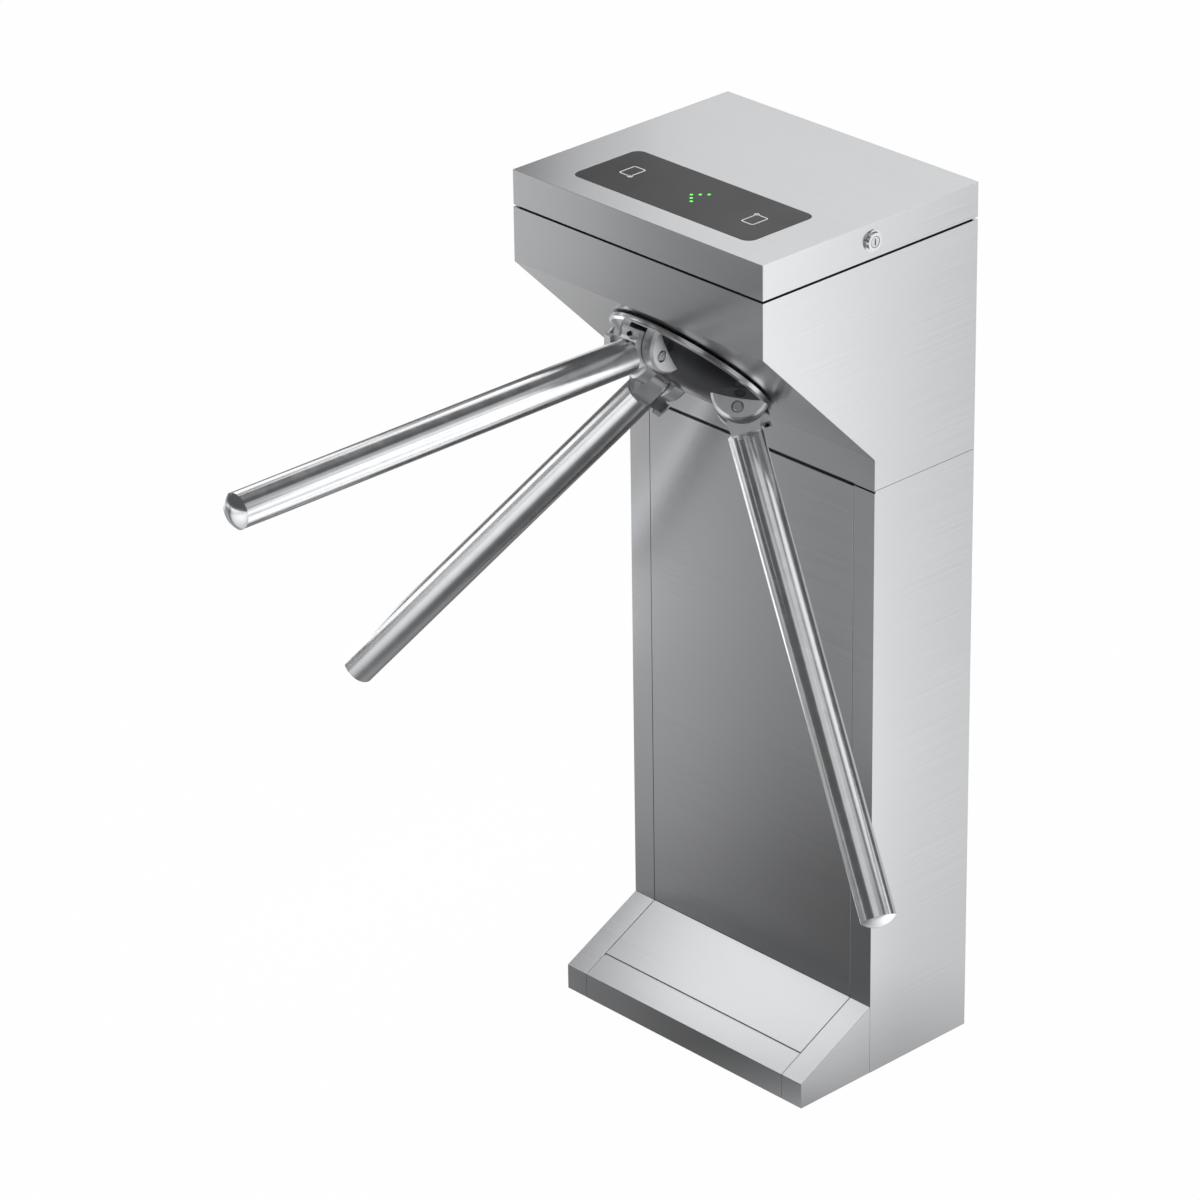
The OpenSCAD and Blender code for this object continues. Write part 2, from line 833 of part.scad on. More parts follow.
// Outline of the right pawl when it stands in its notch, drawn about its pivot
module pawl_outline() {
    rotate([0, 0, pawl_at]) {
        // Nose, arm and boss in radial and tangential lengths
        polygon([
            [index_r - 7.5 - pawl_out, -pawl_along - 3.8],
            [index_r + 4 - pawl_out, -pawl_along - 5.2],
            [index_r + 12 - pawl_out, -pawl_along - 2],
            [index_r + 12 - pawl_out, -18],
            [8, -4],
            [-4, -8],
            [2, -24],
            [index_r + 3.5 - pawl_out, -pawl_along + 14],
            [index_r + 3.5 - pawl_out, -pawl_along + 5.2],
            [index_r - 7.5 - pawl_out, -pawl_along + 3.8]
        ]);
        circle(9);
    }
    // Tail towards the plunger
    rotate([0, 0, -pawl_swing / 2]) {
        translate([0, -4.5])
            square([tail_len, 9]);
        translate([tail_len, 0])
            circle(4.5);
    }
}

module pawl_body() {
    rotate([0, 0, pawl_swing])
        difference() {
            union() {
                linear_extrude(pawl_t)
                    pawl_outline();
                rotate([0, 0, -pawl_swing / 2])
                    translate([tail_len, 0, plunger_z - 3 - pawl_z])
                        cylinder(h = pawl_z - plunger_z + 4, r = 2);
            }
            translate([0, 0, -1])
                cylinder(h = pawl_t + 2, r = post_r + 0.05);
        }
}

module right_pawl() {
    color("steelblue")
    at_rotor()
        translate([pivot_x, pivot_y, pawl_z])
            pawl_body();
}

module left_pawl() {
    color("steelblue")
    at_rotor()
        mirror([1, 0, 0])
            translate([pivot_x, pivot_y, pawl_z])
                pawl_body();
}

// Spur gear outline: straight flanks through the pitch circle
module gear_outline(teeth) {
    pitch = gear_m * teeth / 2;
    tip = pitch + 0.9 * gear_m;
    root = pitch - 1.25 * gear_m;
    step = 360 / teeth;
    thick = (PI * gear_m / 2 - backlash) / pitch / 2 * 180 / PI;
    tip_half = thick - 0.9 * gear_m * tan(20) / tip * 180 / PI;
    root_half = min(thick + 1.25 * gear_m * tan(14) / root * 180 / PI, step * 0.45);
    polygon([
        for (tooth = [0:teeth - 1])
            for (side = [[-root_half, root], [-tip_half, tip], [tip_half, tip], [root_half, root]])
                let (turn = tooth * step + side[0])
                    [side[1] * cos(turn), side[1] * sin(turn)]
    ]);
}

module main_gear() {
    color("darkgoldenrod")
    at_rotor()
        translate([0, 0, gear_z])
            difference() {
                union() {
                    linear_extrude(gear_t)
                        gear_outline(main_teeth);
                    translate([0, 0, -7.6])
                        cylinder(h = gear_t + 9.6, r = 24);
                }
                translate([0, 0, -20])
                    cylinder(h = 60, d = shaft_d);
                for (turn = [0:5])
                    rotate([0, 0, 60 * turn])
                        translate([36.5, 0, -1])
                            cylinder(h = gear_t + 2, r = 8);
            }
}

module centring_gear() {
    color("darkgoldenrod")
    at_rotor()
        translate([0, gear_dist, gear_z])
            difference() {
                union() {
                    rotate([0, 0, 180 / small_teeth])
                        linear_extrude(gear_t - 0.5)
                            gear_outline(small_teeth);
                    translate([0, 0, -4.5])
                        cylinder(h = 5, r = 10);
                    translate([0, crank_r, gear_t - 1])
                        cylinder(h = spring_z + 4 - gear_z - gear_t + 1, r = 2.5);
                }
                translate([0, 0, -10])
                    cylinder(h = 30, r = post_r + 0.05);
            }
}

module damper_body() {
    color("black")
    at_rotor()
        rotate([0, 0, damper_deg - 90])
            translate([0, gear_dist, rear_z]) {
                cylinder(h = damper_h, r = 21);
                difference() {
                    union() {
                        cylinder(h = 4, r = 12);
                        translate([-15, 0, 0])
                            cube([30, 20, 4]);
                        for (side = [-1, 1])
                            translate([side * 17, 19, 0])
                                cylinder(h = 4, r = 6);
                    }
                    for (side = [-1, 1])
                        translate([side * 18, 21, -1])
                            cylinder(h = 6, r = 2.2);
                }
            }
}

module damper_pinion() {
    color("darkgoldenrod")
    at_rotor()
        rotate([0, 0, damper_deg - 90])
            translate([0, gear_dist, 0]) {
                translate([0, 0, gear_z])
                    rotate([0, 0, 180 / small_teeth])
                        linear_extrude(gear_t)
                            gear_outline(small_teeth);
                translate([0, 0, rear_z + damper_h + 0.4])
                    cylinder(h = gear_z + gear_t + 2 - rear_z - damper_h - 0.4, r = 6);
            }
}

// Sweeps a round wire along a list of points
function unit(v) = v / norm(v);
function ring_at(points, i, sides, radius) =
    let (
        here = points[i],
        ahead = points[min(i + 1, len(points) - 1)],
        behind = points[max(i - 1, 0)],
        along = unit(ahead - behind),
        across = unit(cross(along, abs(along[2]) > 0.9 ? [0, 1, 0] : [0, 0, 1])),
        upward = cross(across, along)
    )
    [for (s = [0:sides - 1])
        here + radius * (cos(360 * s / sides) * across + sin(360 * s / sides) * upward)];

module wire(points, radius, sides) {
    count = len(points);
    rings = [for (i = [0:count - 1]) each ring_at(points, i, sides, radius)];
    walls = [
        for (i = [0:count - 2], s = [0:sides - 1])
            let (
                a = i * sides + s,
                b = i * sides + (s + 1) % sides
            )
            each [[a, a + sides, b + sides], [a, b + sides, b]]
    ];
    ends = [
        [for (s = [0:sides - 1]) s],
        [for (s = [sides - 1:-1:0]) (count - 1) * sides + s]
    ];
    polyhedron(concat(rings, [for (s = [0]) rings[0]]), concat(walls, ends), convexity = 10);
}

// Least distance between the wire's surfaces, left out between neighbouring points
function least_gap(points, apart) =
    min([for (i = [0:len(points) - 1 - apart])
        min([for (j = [i + apart:len(points) - 1]) norm(points[i] - points[j])])]);

module centring_spring() {
    start_y = gear_dist + crank_r;
    steps = 8;
    hook = 14;
    coil_from = start_y + hook;
    coil_to = spring_post_y - hook;
    total = spring_turns * steps;
    hook_r = 2.5 + wire_d / 2 + 0.3;
    post_hook_r = 4 + wire_d / 2 + 0.3;
    start_hook = [for (turn = [-150:30:90])
        [hook_r * cos(turn), start_y + hook_r * sin(turn), spring_z]];
    coil = [for (i = [2:total - 2])
        [
            spring_r * sin(360 * i / steps),
            coil_from + (coil_to - coil_from) * i / total,
            spring_z + spring_r * cos(360 * i / steps)
        ]];
    end_hook = [for (turn = [-90:30:150])
        [post_hook_r * cos(turn), spring_post_y + post_hook_r * sin(turn), spring_z]];
    path = concat(start_hook, coil, end_hook);
    echo(spring_gap = least_gap(path, 4) - wire_d);
    color("silver")
    at_rotor()
        wire(path, wire_d / 2, 6);
}

// Disc on the shaft with six hardened lugs round its edge; the notches lie between the lugs
module index_wheel() {
    disc_edge = index_r - notch_depth;
    color("slategray")
    at_rotor() {
        difference() {
            union() {
                translate([0, 0, wheel_z])
                    cylinder(h = wheel_t, r = disc_edge);
                translate([0, 0, housing_end + 1])
                    cylinder(h = wheel_z + wheel_t - housing_end - 1, r = 21);
            }
            cylinder(h = 200, d = shaft_d);
        }
        difference() {
            translate([0, 0, wheel_z])
                cylinder(h = wheel_t, r = index_r);
            cylinder(h = 200, r = disc_edge + 0.05);
            for (turn = [0:notch_count - 1])
                rotate([0, 0, pawl_at + 360 / notch_count * turn])
                    translate([disc_edge, 0, wheel_z - 1])
                        linear_extrude(wheel_t + 2)
                            polygon([
                                [-1, -notch_w / 2 + 0.6],
                                [notch_depth + 4, -notch_w / 2 - 1.4],
                                [notch_depth + 4, notch_w / 2 + 1.4],
                                [-1, notch_w / 2 - 0.6]
                            ]);
        }
    }
}

module sensor_disc() {
    slots = 24;
    color(DARK)
    at_rotor()
        difference() {
            union() {
                translate([0, 0, disc_z])
                    cylinder(h = disc_t, r = disc_r);
                translate([0, 0, gear_z + gear_t + 2.3])
                    cylinder(h = disc_z + disc_t - gear_z - gear_t, r = 20);
            }
            cylinder(h = 200, d = shaft_d);
            for (turn = [0:slots - 1])
                rotate([0, 0, 360 / slots * turn])
                    translate([disc_r - 5.5, 0, disc_z])
                        cube([7, 5, 10], center = true);
        }
}

module position_sensor() {
    at_deg = 225;
    color("black")
    at_rotor()
        rotate([0, 0, at_deg])
            union() {
                // Stand on the chassis plate, beside wheel and gear
                slab(index_r + 3, index_r + 9, -9, 9, rear_z, disc_z + 10);
                slab(index_r + 3, index_r + 22, -9, 9, rear_z, rear_z + 3);
                // Fork over the edge of the sensor disc
                slab(disc_r - 9, index_r + 4, -7, 7, disc_z + disc_t + 1.5, disc_z + 10);
                slab(disc_r + 2.5, index_r + 4, -7, 7, disc_z - 3.5, disc_z + disc_t + 2);
                slab(disc_r - 9, disc_r + 3, -7, 7, disc_z - 3.5, disc_z - 1.2);
            }
}

module shaft_nut() {
    color("gainsboro")
    at_rotor()
        translate([0, 0, disc_z + disc_t + 2.6])
            difference() {
                cylinder(h = 7, r = 23);
                translate([0, 0, -1])
                    cylinder(h = 10, d = shaft_d);
                for (turn = [0:3])
                    rotate([0, 0, 90 * turn])
                        translate([23, 0, 3])
                            cube([6, 6, 12], center = true);
            }
}

module main_shaft() {
    color("silver")
    at_rotor()
        difference() {
            union() {
                translate([0, 0, core_face - 2])
                    cylinder(h = shaft_end - core_face + 2, d = shaft_d);
                // Bolt head and washer that draw the hub on to the shaft
                translate([0, 0, core_face - 2])
                    cylinder(h = 2, r = 18);
                translate([0, 0, core_face - 7])
                    cylinder(h = 5 + eps, r = 9, $fn = 6);
            }
            translate([0, 0, shaft_end - 4])
                cylinder(h = 5, d1 = 0, d2 = 10);
        }
}

module hub_core() {
    color("gray")
    at_rotor()
        difference() {
            union() {
                translate([0, 0, core_face])
                    cylinder(h = core_t - 0.5, r = core_r);
                translate([0, 0, core_face])
                    cylinder(h = core_t + rim_gap + 5, r = 28);
            }
            translate([0, 0, -60])
                cylinder(h = 120, d = shaft_d);
            at_hub_screws()
                translate([0, 0, core_face - 1]) {
                    cylinder(h = 20, d = 8.4);
                    translate([0, 0, 3.6])
                        cylinder(h = 20, d = 13.4);
                }
        }
}

module at_hub_screws() {
    for (station = STATIONS, r = screw_rows)
        rotate([0, 0, station])
            translate([0, -r, 0])
                children();
}

module hub_screws() {
    color("dimgray")
    at_rotor()
        at_hub_screws()
            translate([0, 0, core_face - 3]) {
                cylinder(h = 7, d = 8);
                translate([0, 0, 5.8])
                    cylinder(h = 1.6, d = 13);
            }
}

// Round block of a clevis about its pivot, with bevelled edges: X along the arm
module ear_block(grow) {
    straight = ear_w - ear_bevel;
    translate([-ear_back, ear_side, 0]) {
        cylinder(h = 2 * straight, r = ear_r + grow, center = true, $fn = 96);
        for (side = [0, 1])
            mirror([0, 0, side])
                translate([0, 0, straight])
                    cylinder(h = ear_bevel + grow, r1 = ear_r + grow, r2 = ear_r - ear_bevel, $fn = 96);
    }
}

// Keeps what lies in front of the hub core
module over_core(gap) {
    rotate([0, 90, 0])
        rotate([-180 + arm_deg, 0, 0])
            translate([-100, -100, -100 + pin_h + core_face + gap])
                cube([200, 200, 100]);
}

module clevis(station) {
    color("silver")
    at_arm(station)
        difference() {
            intersection() {
                ear_block(0);
                over_core(0);
            }
            // Slot for the tongue, its floor along the dome, closed by a low bridge at the rim
            translate([0, 0, -slot_w / 2])
                linear_extrude(slot_w)
                    difference() {
                        rotate([0, 0, arm_deg + seat_tilt - 90])
                            translate([-slot_floor, -60])
                                square([100, 120]);
                        rotate([0, 0, arm_deg])
                            translate([bridge_r - pin_r, pin_h - bridge_h])
                                square([10, 10]);
                    }
            // Bore of the pivot pin with a countersink at each face
            translate([0, 0, -ear_w - 1])
                cylinder(h = 2 * ear_w + 2, d = pin_d);
            for (side = [0, 1])
                mirror([0, 0, side])
                    translate([0, 0, ear_w - 0.6])
                        cylinder(h = 1.2, d1 = pin_d, d2 = pin_d + 1.6);
            // Holes of the two screws from behind
            rotate([0, 90, 0])
                rotate([-180 + arm_deg, 0, 0])
                    translate([0, pin_r, pin_h])
                        for (r = screw_rows)
                            translate([0, -r, core_face - 3.2])
                                cylinder(h = 20, d = 8);
        }
}

module clevis_a() { clevis(STATIONS[0]); }

module clevis_b() { clevis(STATIONS[1]); }

module clevis_c() { clevis(STATIONS[2]); }

module hub_dome() {
    color(DARK)
    difference() {
        at_rotor()
            difference() {
                intersection() {
                    translate([0, 0, dome_top + dome_r])
                        sphere(dome_r, $fn = 200);
                    translate([0, 0, dome_top - 1])
                        cylinder(h = -rim_gap - dome_top + 1, r = hub_r, $fn = 128);
                }
                translate([0, 0, core_face - 0.3])
                    cylinder(h = 20, r = core_r + 0.5);
                translate([0, 0, core_face - 8.5])
                    cylinder(h = 20, r = 20);
            }
        for (station = STATIONS)
            at_arm(station)
                intersection() {
                    ear_block(0.2);
                    over_core(0);
                }
        // Recesses behind the bridges, for the arms that fold
        at_rotor()
            for (station = STATIONS)
                rotate([0, 0, station])
                    translate([-slot_w / 2, -bridge_r, -rim_gap - 20 - 2])
                        cube([slot_w, bridge_r - core_r + 2, 20]);
    }
}

module arm_pivot_pins() {
    color("gainsboro")
    for (station = STATIONS)
        at_arm(station)
            union() {
                cylinder(h = 2 * ear_w - 3, d = pin_d, center = true);
                for (side = [0, 1])
                    mirror([0, 0, side])
                        translate([0, 0, ear_w - 1.5 - eps])
                            cylinder(h = 1.5, d1 = pin_d, d2 = pin_d - 3.6);
            }
}

// Knuckle of an arm: tongue, shoulder, side flange and the spigot inside the tube
module arm_root(station) {
    core_from = 21.5;
    side_w = ear_w + 0.25;
    horn = [18.5, 30.3];
    color("silver")
    at_arm(station)
        difference() {
            union() {
                translate([0, 0, -tongue_w / 2])
                    linear_extrude(tongue_w) {
                        circle(tongue_r);
                        translate([0, -tongue_r])
                            square([root_len + 1, 2 * tongue_r]);
                    }
                // Shoulder, tapered on the side that folds towards the hub
                linear_extrude(side_w + flange_t)
                    polygon([
                        [core_from, 0],
                        [core_from + 1.8, -6],
                        [core_from + 3.1, -14.5],
                        [root_len - 0.1, -14.5],
                        [root_len - 0.1, 18],
                        [core_from, 17]
                    ]);
                // Side flange over the end of the tube, hollowed along the ear
                translate([0, 0, tube_d / 2 + 0.2])
                    linear_extrude(side_w + flange_t - tube_d / 2 - 0.2)
                        polygon([
                            [root_len - 1, -14.5],
                            [flange_end, -14.2],
                            [flange_end, 17.2],
                            [root_len - 1, 18]
                        ]);
                translate([0, 0, side_w])
                    difference() {
                        linear_extrude(flange_t)
                            polygon([
                                [root_len, -14.4],
                                [root_len, 18],
                                [22, 19.4],
                                [19, 21.5],
                                [10, 21.5],
                                [2, -10],
                                [11.8, -14],
                                [14, -15.4],
                                [19, -15.4]
                            ]);
                        translate([-6.9, 7.8, -1])
                            cylinder(h = 10, r = 26.4, $fn = 96);
                        // Bevel along the hollow
                        translate([-6.9, 7.8, flange_t - 1.2])
                            cylinder(h = 1.3, r1 = 26.4, r2 = 27.9, $fn = 96);
                    }
                // Stop block between the ears
                translate([0, 0, -tongue_w / 2])
                    linear_extrude(tongue_w)
                        polygon([
                            [root_len - 1, 10],
                            [root_len - 1, 18],
                            [20.8, 20],
                            [20.2, 28.4],
                            horn,
                            [11, 26.5],
                            [3, tongue_r - 1]
                        ]);
                translate([root_len - 0.5, 0, 0])
                    rotate([0, 90, 0])
                        cylinder(h = spigot_len, r = tube_bore - 0.05);
            }
            cylinder(h = 100, d = pin_d + 0.1, center = true);
        }
}

module arm_root_a() { arm_root(STATIONS[0]); }

module arm_root_b() { arm_root(STATIONS[1]); }

module arm_root_c() { arm_root(STATIONS[2]); }

module arm_tube(station) {
    color("gainsboro")
    at_arm(station)
        translate([root_len, 0, 0])
            rotate([0, 90, 0])
                difference() {
                    cylinder(h = arm_len - root_len, d = tube_d, $fn = 96);
                    translate([0, 0, -1])
                        cylinder(h = arm_len - root_len + 2, r = tube_bore, $fn = 96);
                }
}

module arm_tube_a() { arm_tube(STATIONS[0]); }

module arm_tube_b() { arm_tube(STATIONS[1]); }

module arm_tube_c() { arm_tube(STATIONS[2]); }

module arm_cap(station) {
    cap_r = (tube_d * tube_d / 4 + cap_h * cap_h) / (2 * cap_h);
    plug_len = 14;
    color("gainsboro")
    at_arm(station)
        translate([arm_len, 0, 0])
            rotate([0, 90, 0])
                union() {
                    intersection() {
                        translate([0, 0, cap_h - cap_r])
                            sphere(cap_r, $fn = 96);
                        cylinder(h = cap_h + 1, d = tube_d);
                    }
                    translate([0, 0, -plug_len])
                        cylinder(h = plug_len + eps, r = tube_bore - 0.05);
                }
}

module arm_cap_a() { arm_cap(STATIONS[0]); }

module arm_cap_b() { arm_cap(STATIONS[1]); }

module arm_cap_c() { arm_cap(STATIONS[2]); }

module control_board() {
    board_w = ctrl_w;
    board_h = ctrl_h;
    low = (seam_z + total_h) / 2 - 0.5 * board_h;
    face = back_y - sheet_t;
    color("darkgreen")
    union() {
        slab(-board_w / 2, board_w / 2, face - 10.6, face - 9, low, low + board_h);
        for (x = [-1, 1], z = [8, board_h - 8])
            translate([x * (board_w / 2 - 8), face, low + z])
                rotate([90, 0, 0])
                    cylinder(h = 10, r = 3);
        // Terminal rows, relays and the processor
        slab(-70, 70, face - 21, face - 10, low + 3, low + 14);
        slab(-70, -10, face - 21, face - 10, low + board_h - 15, low + board_h - 4);
        for (x = [-58, -34, 24])
            slab(x, x + 16, face - 24, face - 10, low + 42, low + 62);
        slab(0, 30, face - 13, face - 10, low + 78, low + 98);
    }
}

module power_supply() {
    psu_w = 199;
    psu_h = 98;
    psu_d = 42;
    low = 330;
    face = back_y - sheet_t;
    color("silver")
    difference() {
        slab(-psu_w / 2, psu_w / 2, face - psu_d, face, low, low + psu_h);
        // Terminal bay and the vent holes of the cover
        slab(psu_w / 2 - 28, psu_w / 2 + 1, face - psu_d - 1, face - 24, low + 6, low + psu_h - 6);
        for (x = [-7:3], z = [-2:2])
            translate([x * 12, face - psu_d - 1, low + psu_h / 2 + z * 14])
                rotate([-90, 0, 0])
                    cylinder(h = 4, r = 3);
    }
}

// Cap screws of the bearing housing and of the chassis plate
module chassis_bolts() {
    color("dimgray")
    at_rotor() {
        for (turn = [0:5])
            rotate([0, 0, 60 * turn + 30])
                translate([housing_r + 5, 0, rear_z + housing_flange_t])
                    cylinder(h = 4, d = 8.5);
        for (x = [-1, 1], y = [-plate_up + 15, plate_down - 15])
            translate([x * (inner_w - 16), y, rear_z])
                cylinder(h = 5, d = 13, $fn = 6);
    }
}

base_plate();
column_shell();
front_panel();
left_foot_cheek();
right_foot_cheek();
kick_plate();
foot_cover();
head_shell();
lid_seal();
hinge_brackets();
lock_strike();
left_mount_rail();
right_mount_rail();
chassis_plate();
bearing_housing();
shaft_bearings();
left_solenoid();
right_solenoid();
damper_body();
position_sensor();
control_board();
power_supply();
cable_grommet();
chassis_bolts();
hub_dome();
hub_core();
clevis_a();
clevis_b();
clevis_c();
arm_pivot_pins();
main_shaft();
hub_screws();
index_wheel();
main_gear();
sensor_disc();
shaft_nut();
arm_root_a();
arm_root_b();
arm_root_c();
arm_tube_a();
arm_tube_b();
arm_tube_c();
arm_cap_a();
arm_cap_b();
arm_cap_c();
lid();
hinge_leaves();
display_window();
led_board();
led_indicators();
lock_body();
lock_cam();
left_pawl();
right_pawl();
left_plunger();
right_plunger();
centring_gear();
centring_spring();
damper_pinion();
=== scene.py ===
# %% [markdown]
# # Tripod turnstile
# A slim stainless cabinet carries a tilted hub with three drop arms. The packed
# model gives every rigid piece in metres, standing on the floor at Z = 0. This
# lesson dresses it: soft edges on the folded sheets, small printed and screwed
# details, a finish for each material, and a studio like the one in the picture.

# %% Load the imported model
import bpy
import json
import math
from mathutils import Matrix, Vector


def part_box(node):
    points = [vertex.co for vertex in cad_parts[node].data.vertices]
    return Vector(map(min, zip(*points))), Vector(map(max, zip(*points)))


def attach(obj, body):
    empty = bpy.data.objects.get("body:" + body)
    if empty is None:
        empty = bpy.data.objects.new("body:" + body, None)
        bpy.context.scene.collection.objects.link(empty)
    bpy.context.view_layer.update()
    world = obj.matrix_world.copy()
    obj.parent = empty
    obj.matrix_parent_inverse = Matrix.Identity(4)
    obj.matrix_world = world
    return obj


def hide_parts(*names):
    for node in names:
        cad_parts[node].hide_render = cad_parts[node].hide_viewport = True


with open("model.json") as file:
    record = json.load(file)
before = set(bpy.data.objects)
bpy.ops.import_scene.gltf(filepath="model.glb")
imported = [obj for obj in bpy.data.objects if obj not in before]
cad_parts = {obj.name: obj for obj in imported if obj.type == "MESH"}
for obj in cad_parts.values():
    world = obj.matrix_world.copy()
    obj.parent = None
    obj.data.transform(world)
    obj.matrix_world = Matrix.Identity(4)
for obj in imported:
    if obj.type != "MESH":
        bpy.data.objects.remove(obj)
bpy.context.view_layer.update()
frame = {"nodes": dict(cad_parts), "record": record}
nodes = frame["nodes"]

# %% [markdown]
# The picture was taken from the front right, well above the lid. The view was
# worked out from the straight edges of the cabinet: 46.85 degrees round, 26.21
# degrees up and a slight roll, through a long lens, so lines stay nearly parallel.

# %% Set the camera
view_turn, view_up, view_roll = (math.radians(v) for v in (46.85, 26.21, -0.86))
camera_place = (3.8805, -3.8795, 3.2049)
focal_mm, film_mm = 171.075, 36
towards = Vector((math.sin(view_turn) * math.cos(view_up),
                  -math.cos(view_turn) * math.cos(view_up), math.sin(view_up)))
level = Vector((0, 0, 1)).cross(towards).normalized()
upright = towards.cross(level)
right = level * math.cos(view_roll) + upright * math.sin(view_roll)
above = upright * math.cos(view_roll) - level * math.sin(view_roll)
lens = bpy.data.cameras.new("studio_camera")
lens.sensor_width = film_mm
lens.lens = focal_mm
lens.clip_end = 50
camera = bpy.data.objects.new("studio_camera", lens)
bpy.context.scene.collection.objects.link(camera)
turned = Matrix((right, above, towards)).transposed().to_4x4()
camera.matrix_world = Matrix.Translation(camera_place) @ turned
bpy.context.scene.camera = camera
print("camera at", [round(v, 3) for v in camera.location])

# %% [markdown]
# All finishes are written as nodes. Colours are read as they look on a screen, so
# one function turns a hex code into the linear values that the shader wants. The
# others add the nodes that most finishes share: sums, mixes, noises, colour ramps,
# changes of range and bumps.

# %% Helpers for finishes
def linear(code):
    """Turns an sRGB hex code such as 8f8f91 into a linear colour with alpha."""
    parts = [int(code[i:i + 2], 16) / 255 for i in (0, 2, 4)]
    return [c / 12.92 if c <= 0.04045 else ((c + 0.055) / 1.055) ** 2.4 for c in parts] + [1]


def add_node(tree, kind, settings=None, links=None):
    """Adds a node; settings are inputs or properties, links are sources or numbers."""
    made = tree.nodes.new(kind)
    for name, value in (settings or {}).items():
        if isinstance(name, int) or name in made.inputs:
            made.inputs[name].default_value = value
        else:
            setattr(made, name, value)
    for name, source in (links or {}).items():
        if isinstance(source, (int, float)):
            made.inputs[name].default_value = source
        else:
            tree.links.new(source, made.inputs[name])
    return made


def new_finish(name, settings):
    """Starts a material and gives its tree, its shader and the place in object space."""
    material = bpy.data.materials.new(name)
    material.use_nodes = True
    tree = material.node_tree
    tree.nodes.clear()
    shader = add_node(tree, "ShaderNodeBsdfPrincipled", settings)
    add_node(tree, "ShaderNodeOutputMaterial", {}, {"Surface": shader.outputs[0]})
    given = add_node(tree, "ShaderNodeTexCoord")
    return material, tree, shader, given.outputs["Object"]


def add_math(tree, operation, *terms):
    """Adds a sum of up to three terms, each a number or another node's output."""
    made = add_node(tree, "ShaderNodeMath", {"operation": operation},
                    dict(enumerate(terms)))
    return made.outputs[0]


def add_mix(tree, share, first, second):
    """Mixes two values: share 0 gives the first and share 1 the second."""
    made = add_node(tree, "ShaderNodeMix", {"data_type": "FLOAT"},
                    {0: share, 2: first, 3: second})
    return made.outputs[0]


def add_noise(tree, place, scale, detail):
    """Adds a noise of so many features per metre."""
    made = add_node(tree, "ShaderNodeTexNoise", {"Scale": scale, "Detail": detail},
                    {"Vector": place})
    return made.outputs[0]


def add_ramp(tree, source, stops):
    """Turns a value into a colour, by stops of (value, hex)."""
    made = add_node(tree, "ShaderNodeValToRGB", {}, {0: source})
    row = made.color_ramp.elements
    while len(row) < len(stops):
        row.new(0.5)
    for stop, (at, code) in zip(row, stops):
        stop.position = at
        stop.color = linear(code)
    return made.outputs[0]


def add_range(tree, source, reads, gives):
    """Carries a value from one range into another and holds it at the ends."""
    made = add_node(tree, "ShaderNodeMapRange",
                    {"From Min": reads[0], "From Max": reads[1],
                     "To Min": gives[0], "To Max": gives[1]}, {"Value": source})
    return made.outputs[0]


def add_bump(tree, source, strength, depth):
    """Turns a value into relief, depth in metres."""
    made = add_node(tree, "ShaderNodeBump", {"Strength": strength, "Distance": depth},
                    {"Height": source})
    return made.outputs[0]


finishes = {}


def keep_finish(slot, material, shader, colour, roughness=None, normal=None):
    """Links the patterns to the shader and keeps the material under its slot's name."""
    for name, source in (("Base Color", colour), ("Roughness", roughness),
                         ("Normal", normal)):
        if source is not None:
            material.node_tree.links.new(source, shader.inputs[name])
    finishes[slot] = material
    print("made", material.name)


print("white is", [round(v, 3) for v in linear("ffffff")])

# %% [markdown]
# ## Brushed stainless sheet
# The cabinet is 1.5 mm stainless sheet, brushed with a fine belt. The belt leaves
# lines that follow the length of each face: they blur what the steel mirrors and
# glitter a little. Real lines are 0.05 mm apart and would vanish here, so they are
# drawn about 2 mm apart. Lines on upright faces lie level; on the lid they run
# from side to side. The normal in object space tells the two apart.

# %% Brushed stainless sheet
along_line, over_lines = 5, 620
flat_enough = 0.8
cloud_share = 0.25
steel, tree, shader, place = new_finish("stainless_sheet_brushed", {
    "Base Color": linear("c4c5c6"), "Metallic": 1.0, "Roughness": 0.22})
level_lines = add_node(tree, "ShaderNodeMapping",
                       {"Scale": (along_line, along_line, over_lines)}, {"Vector": place})
side_lines = add_node(tree, "ShaderNodeMapping",
                      {"Scale": (along_line, over_lines, along_line)}, {"Vector": place})
given = add_node(tree, "ShaderNodeTexCoord")
facing = add_node(tree, "ShaderNodeSeparateXYZ", {}, {"Vector": given.outputs["Normal"]})
upward = add_math(tree, "ABSOLUTE", facing.outputs["Z"])
on_top = add_math(tree, "GREATER_THAN", upward, flat_enough)
brushing = add_mix(tree, on_top, add_noise(tree, level_lines.outputs[0], 1.0, 3.0),
                   add_noise(tree, side_lines.outputs[0], 1.0, 3.0))
blend = add_mix(tree, cloud_share, brushing, add_noise(tree, place, 7.0, 2.0))
keep_finish("sheet_steel", steel, shader,
            add_ramp(tree, blend, [(0.25, "c1c2c4"), (0.75, "c7c8ca")]),
            add_range(tree, blend, (0.25, 0.75), (0.205, 0.235)),
            add_bump(tree, brushing, 0.007, 0.0002))

# %% [markdown]
# ## Polished tube
# The arms are 38 mm stainless tube, polished after bending and welding. The polish
# leaves them almost a mirror, so they show the bright and dark parts of the studio
# as bands along the tube. A faint haze from the polishing wheel keeps the bands
# from being razor sharp.

# %% Polished tube
tube, tree, shader, place = new_finish("stainless_tube_polished", {
    "Base Color": linear("d6d7d9"), "Metallic": 1.0, "Roughness": 0.19})
haze = add_noise(tree, place, 60.0, 4.0)
keep_finish("tube_steel", tube, shader,
            add_ramp(tree, haze, [(0.3, "d0d1d3"), (0.7, "dadbdd")]),
            add_range(tree, haze, (0.3, 0.7), (0.16, 0.22)))

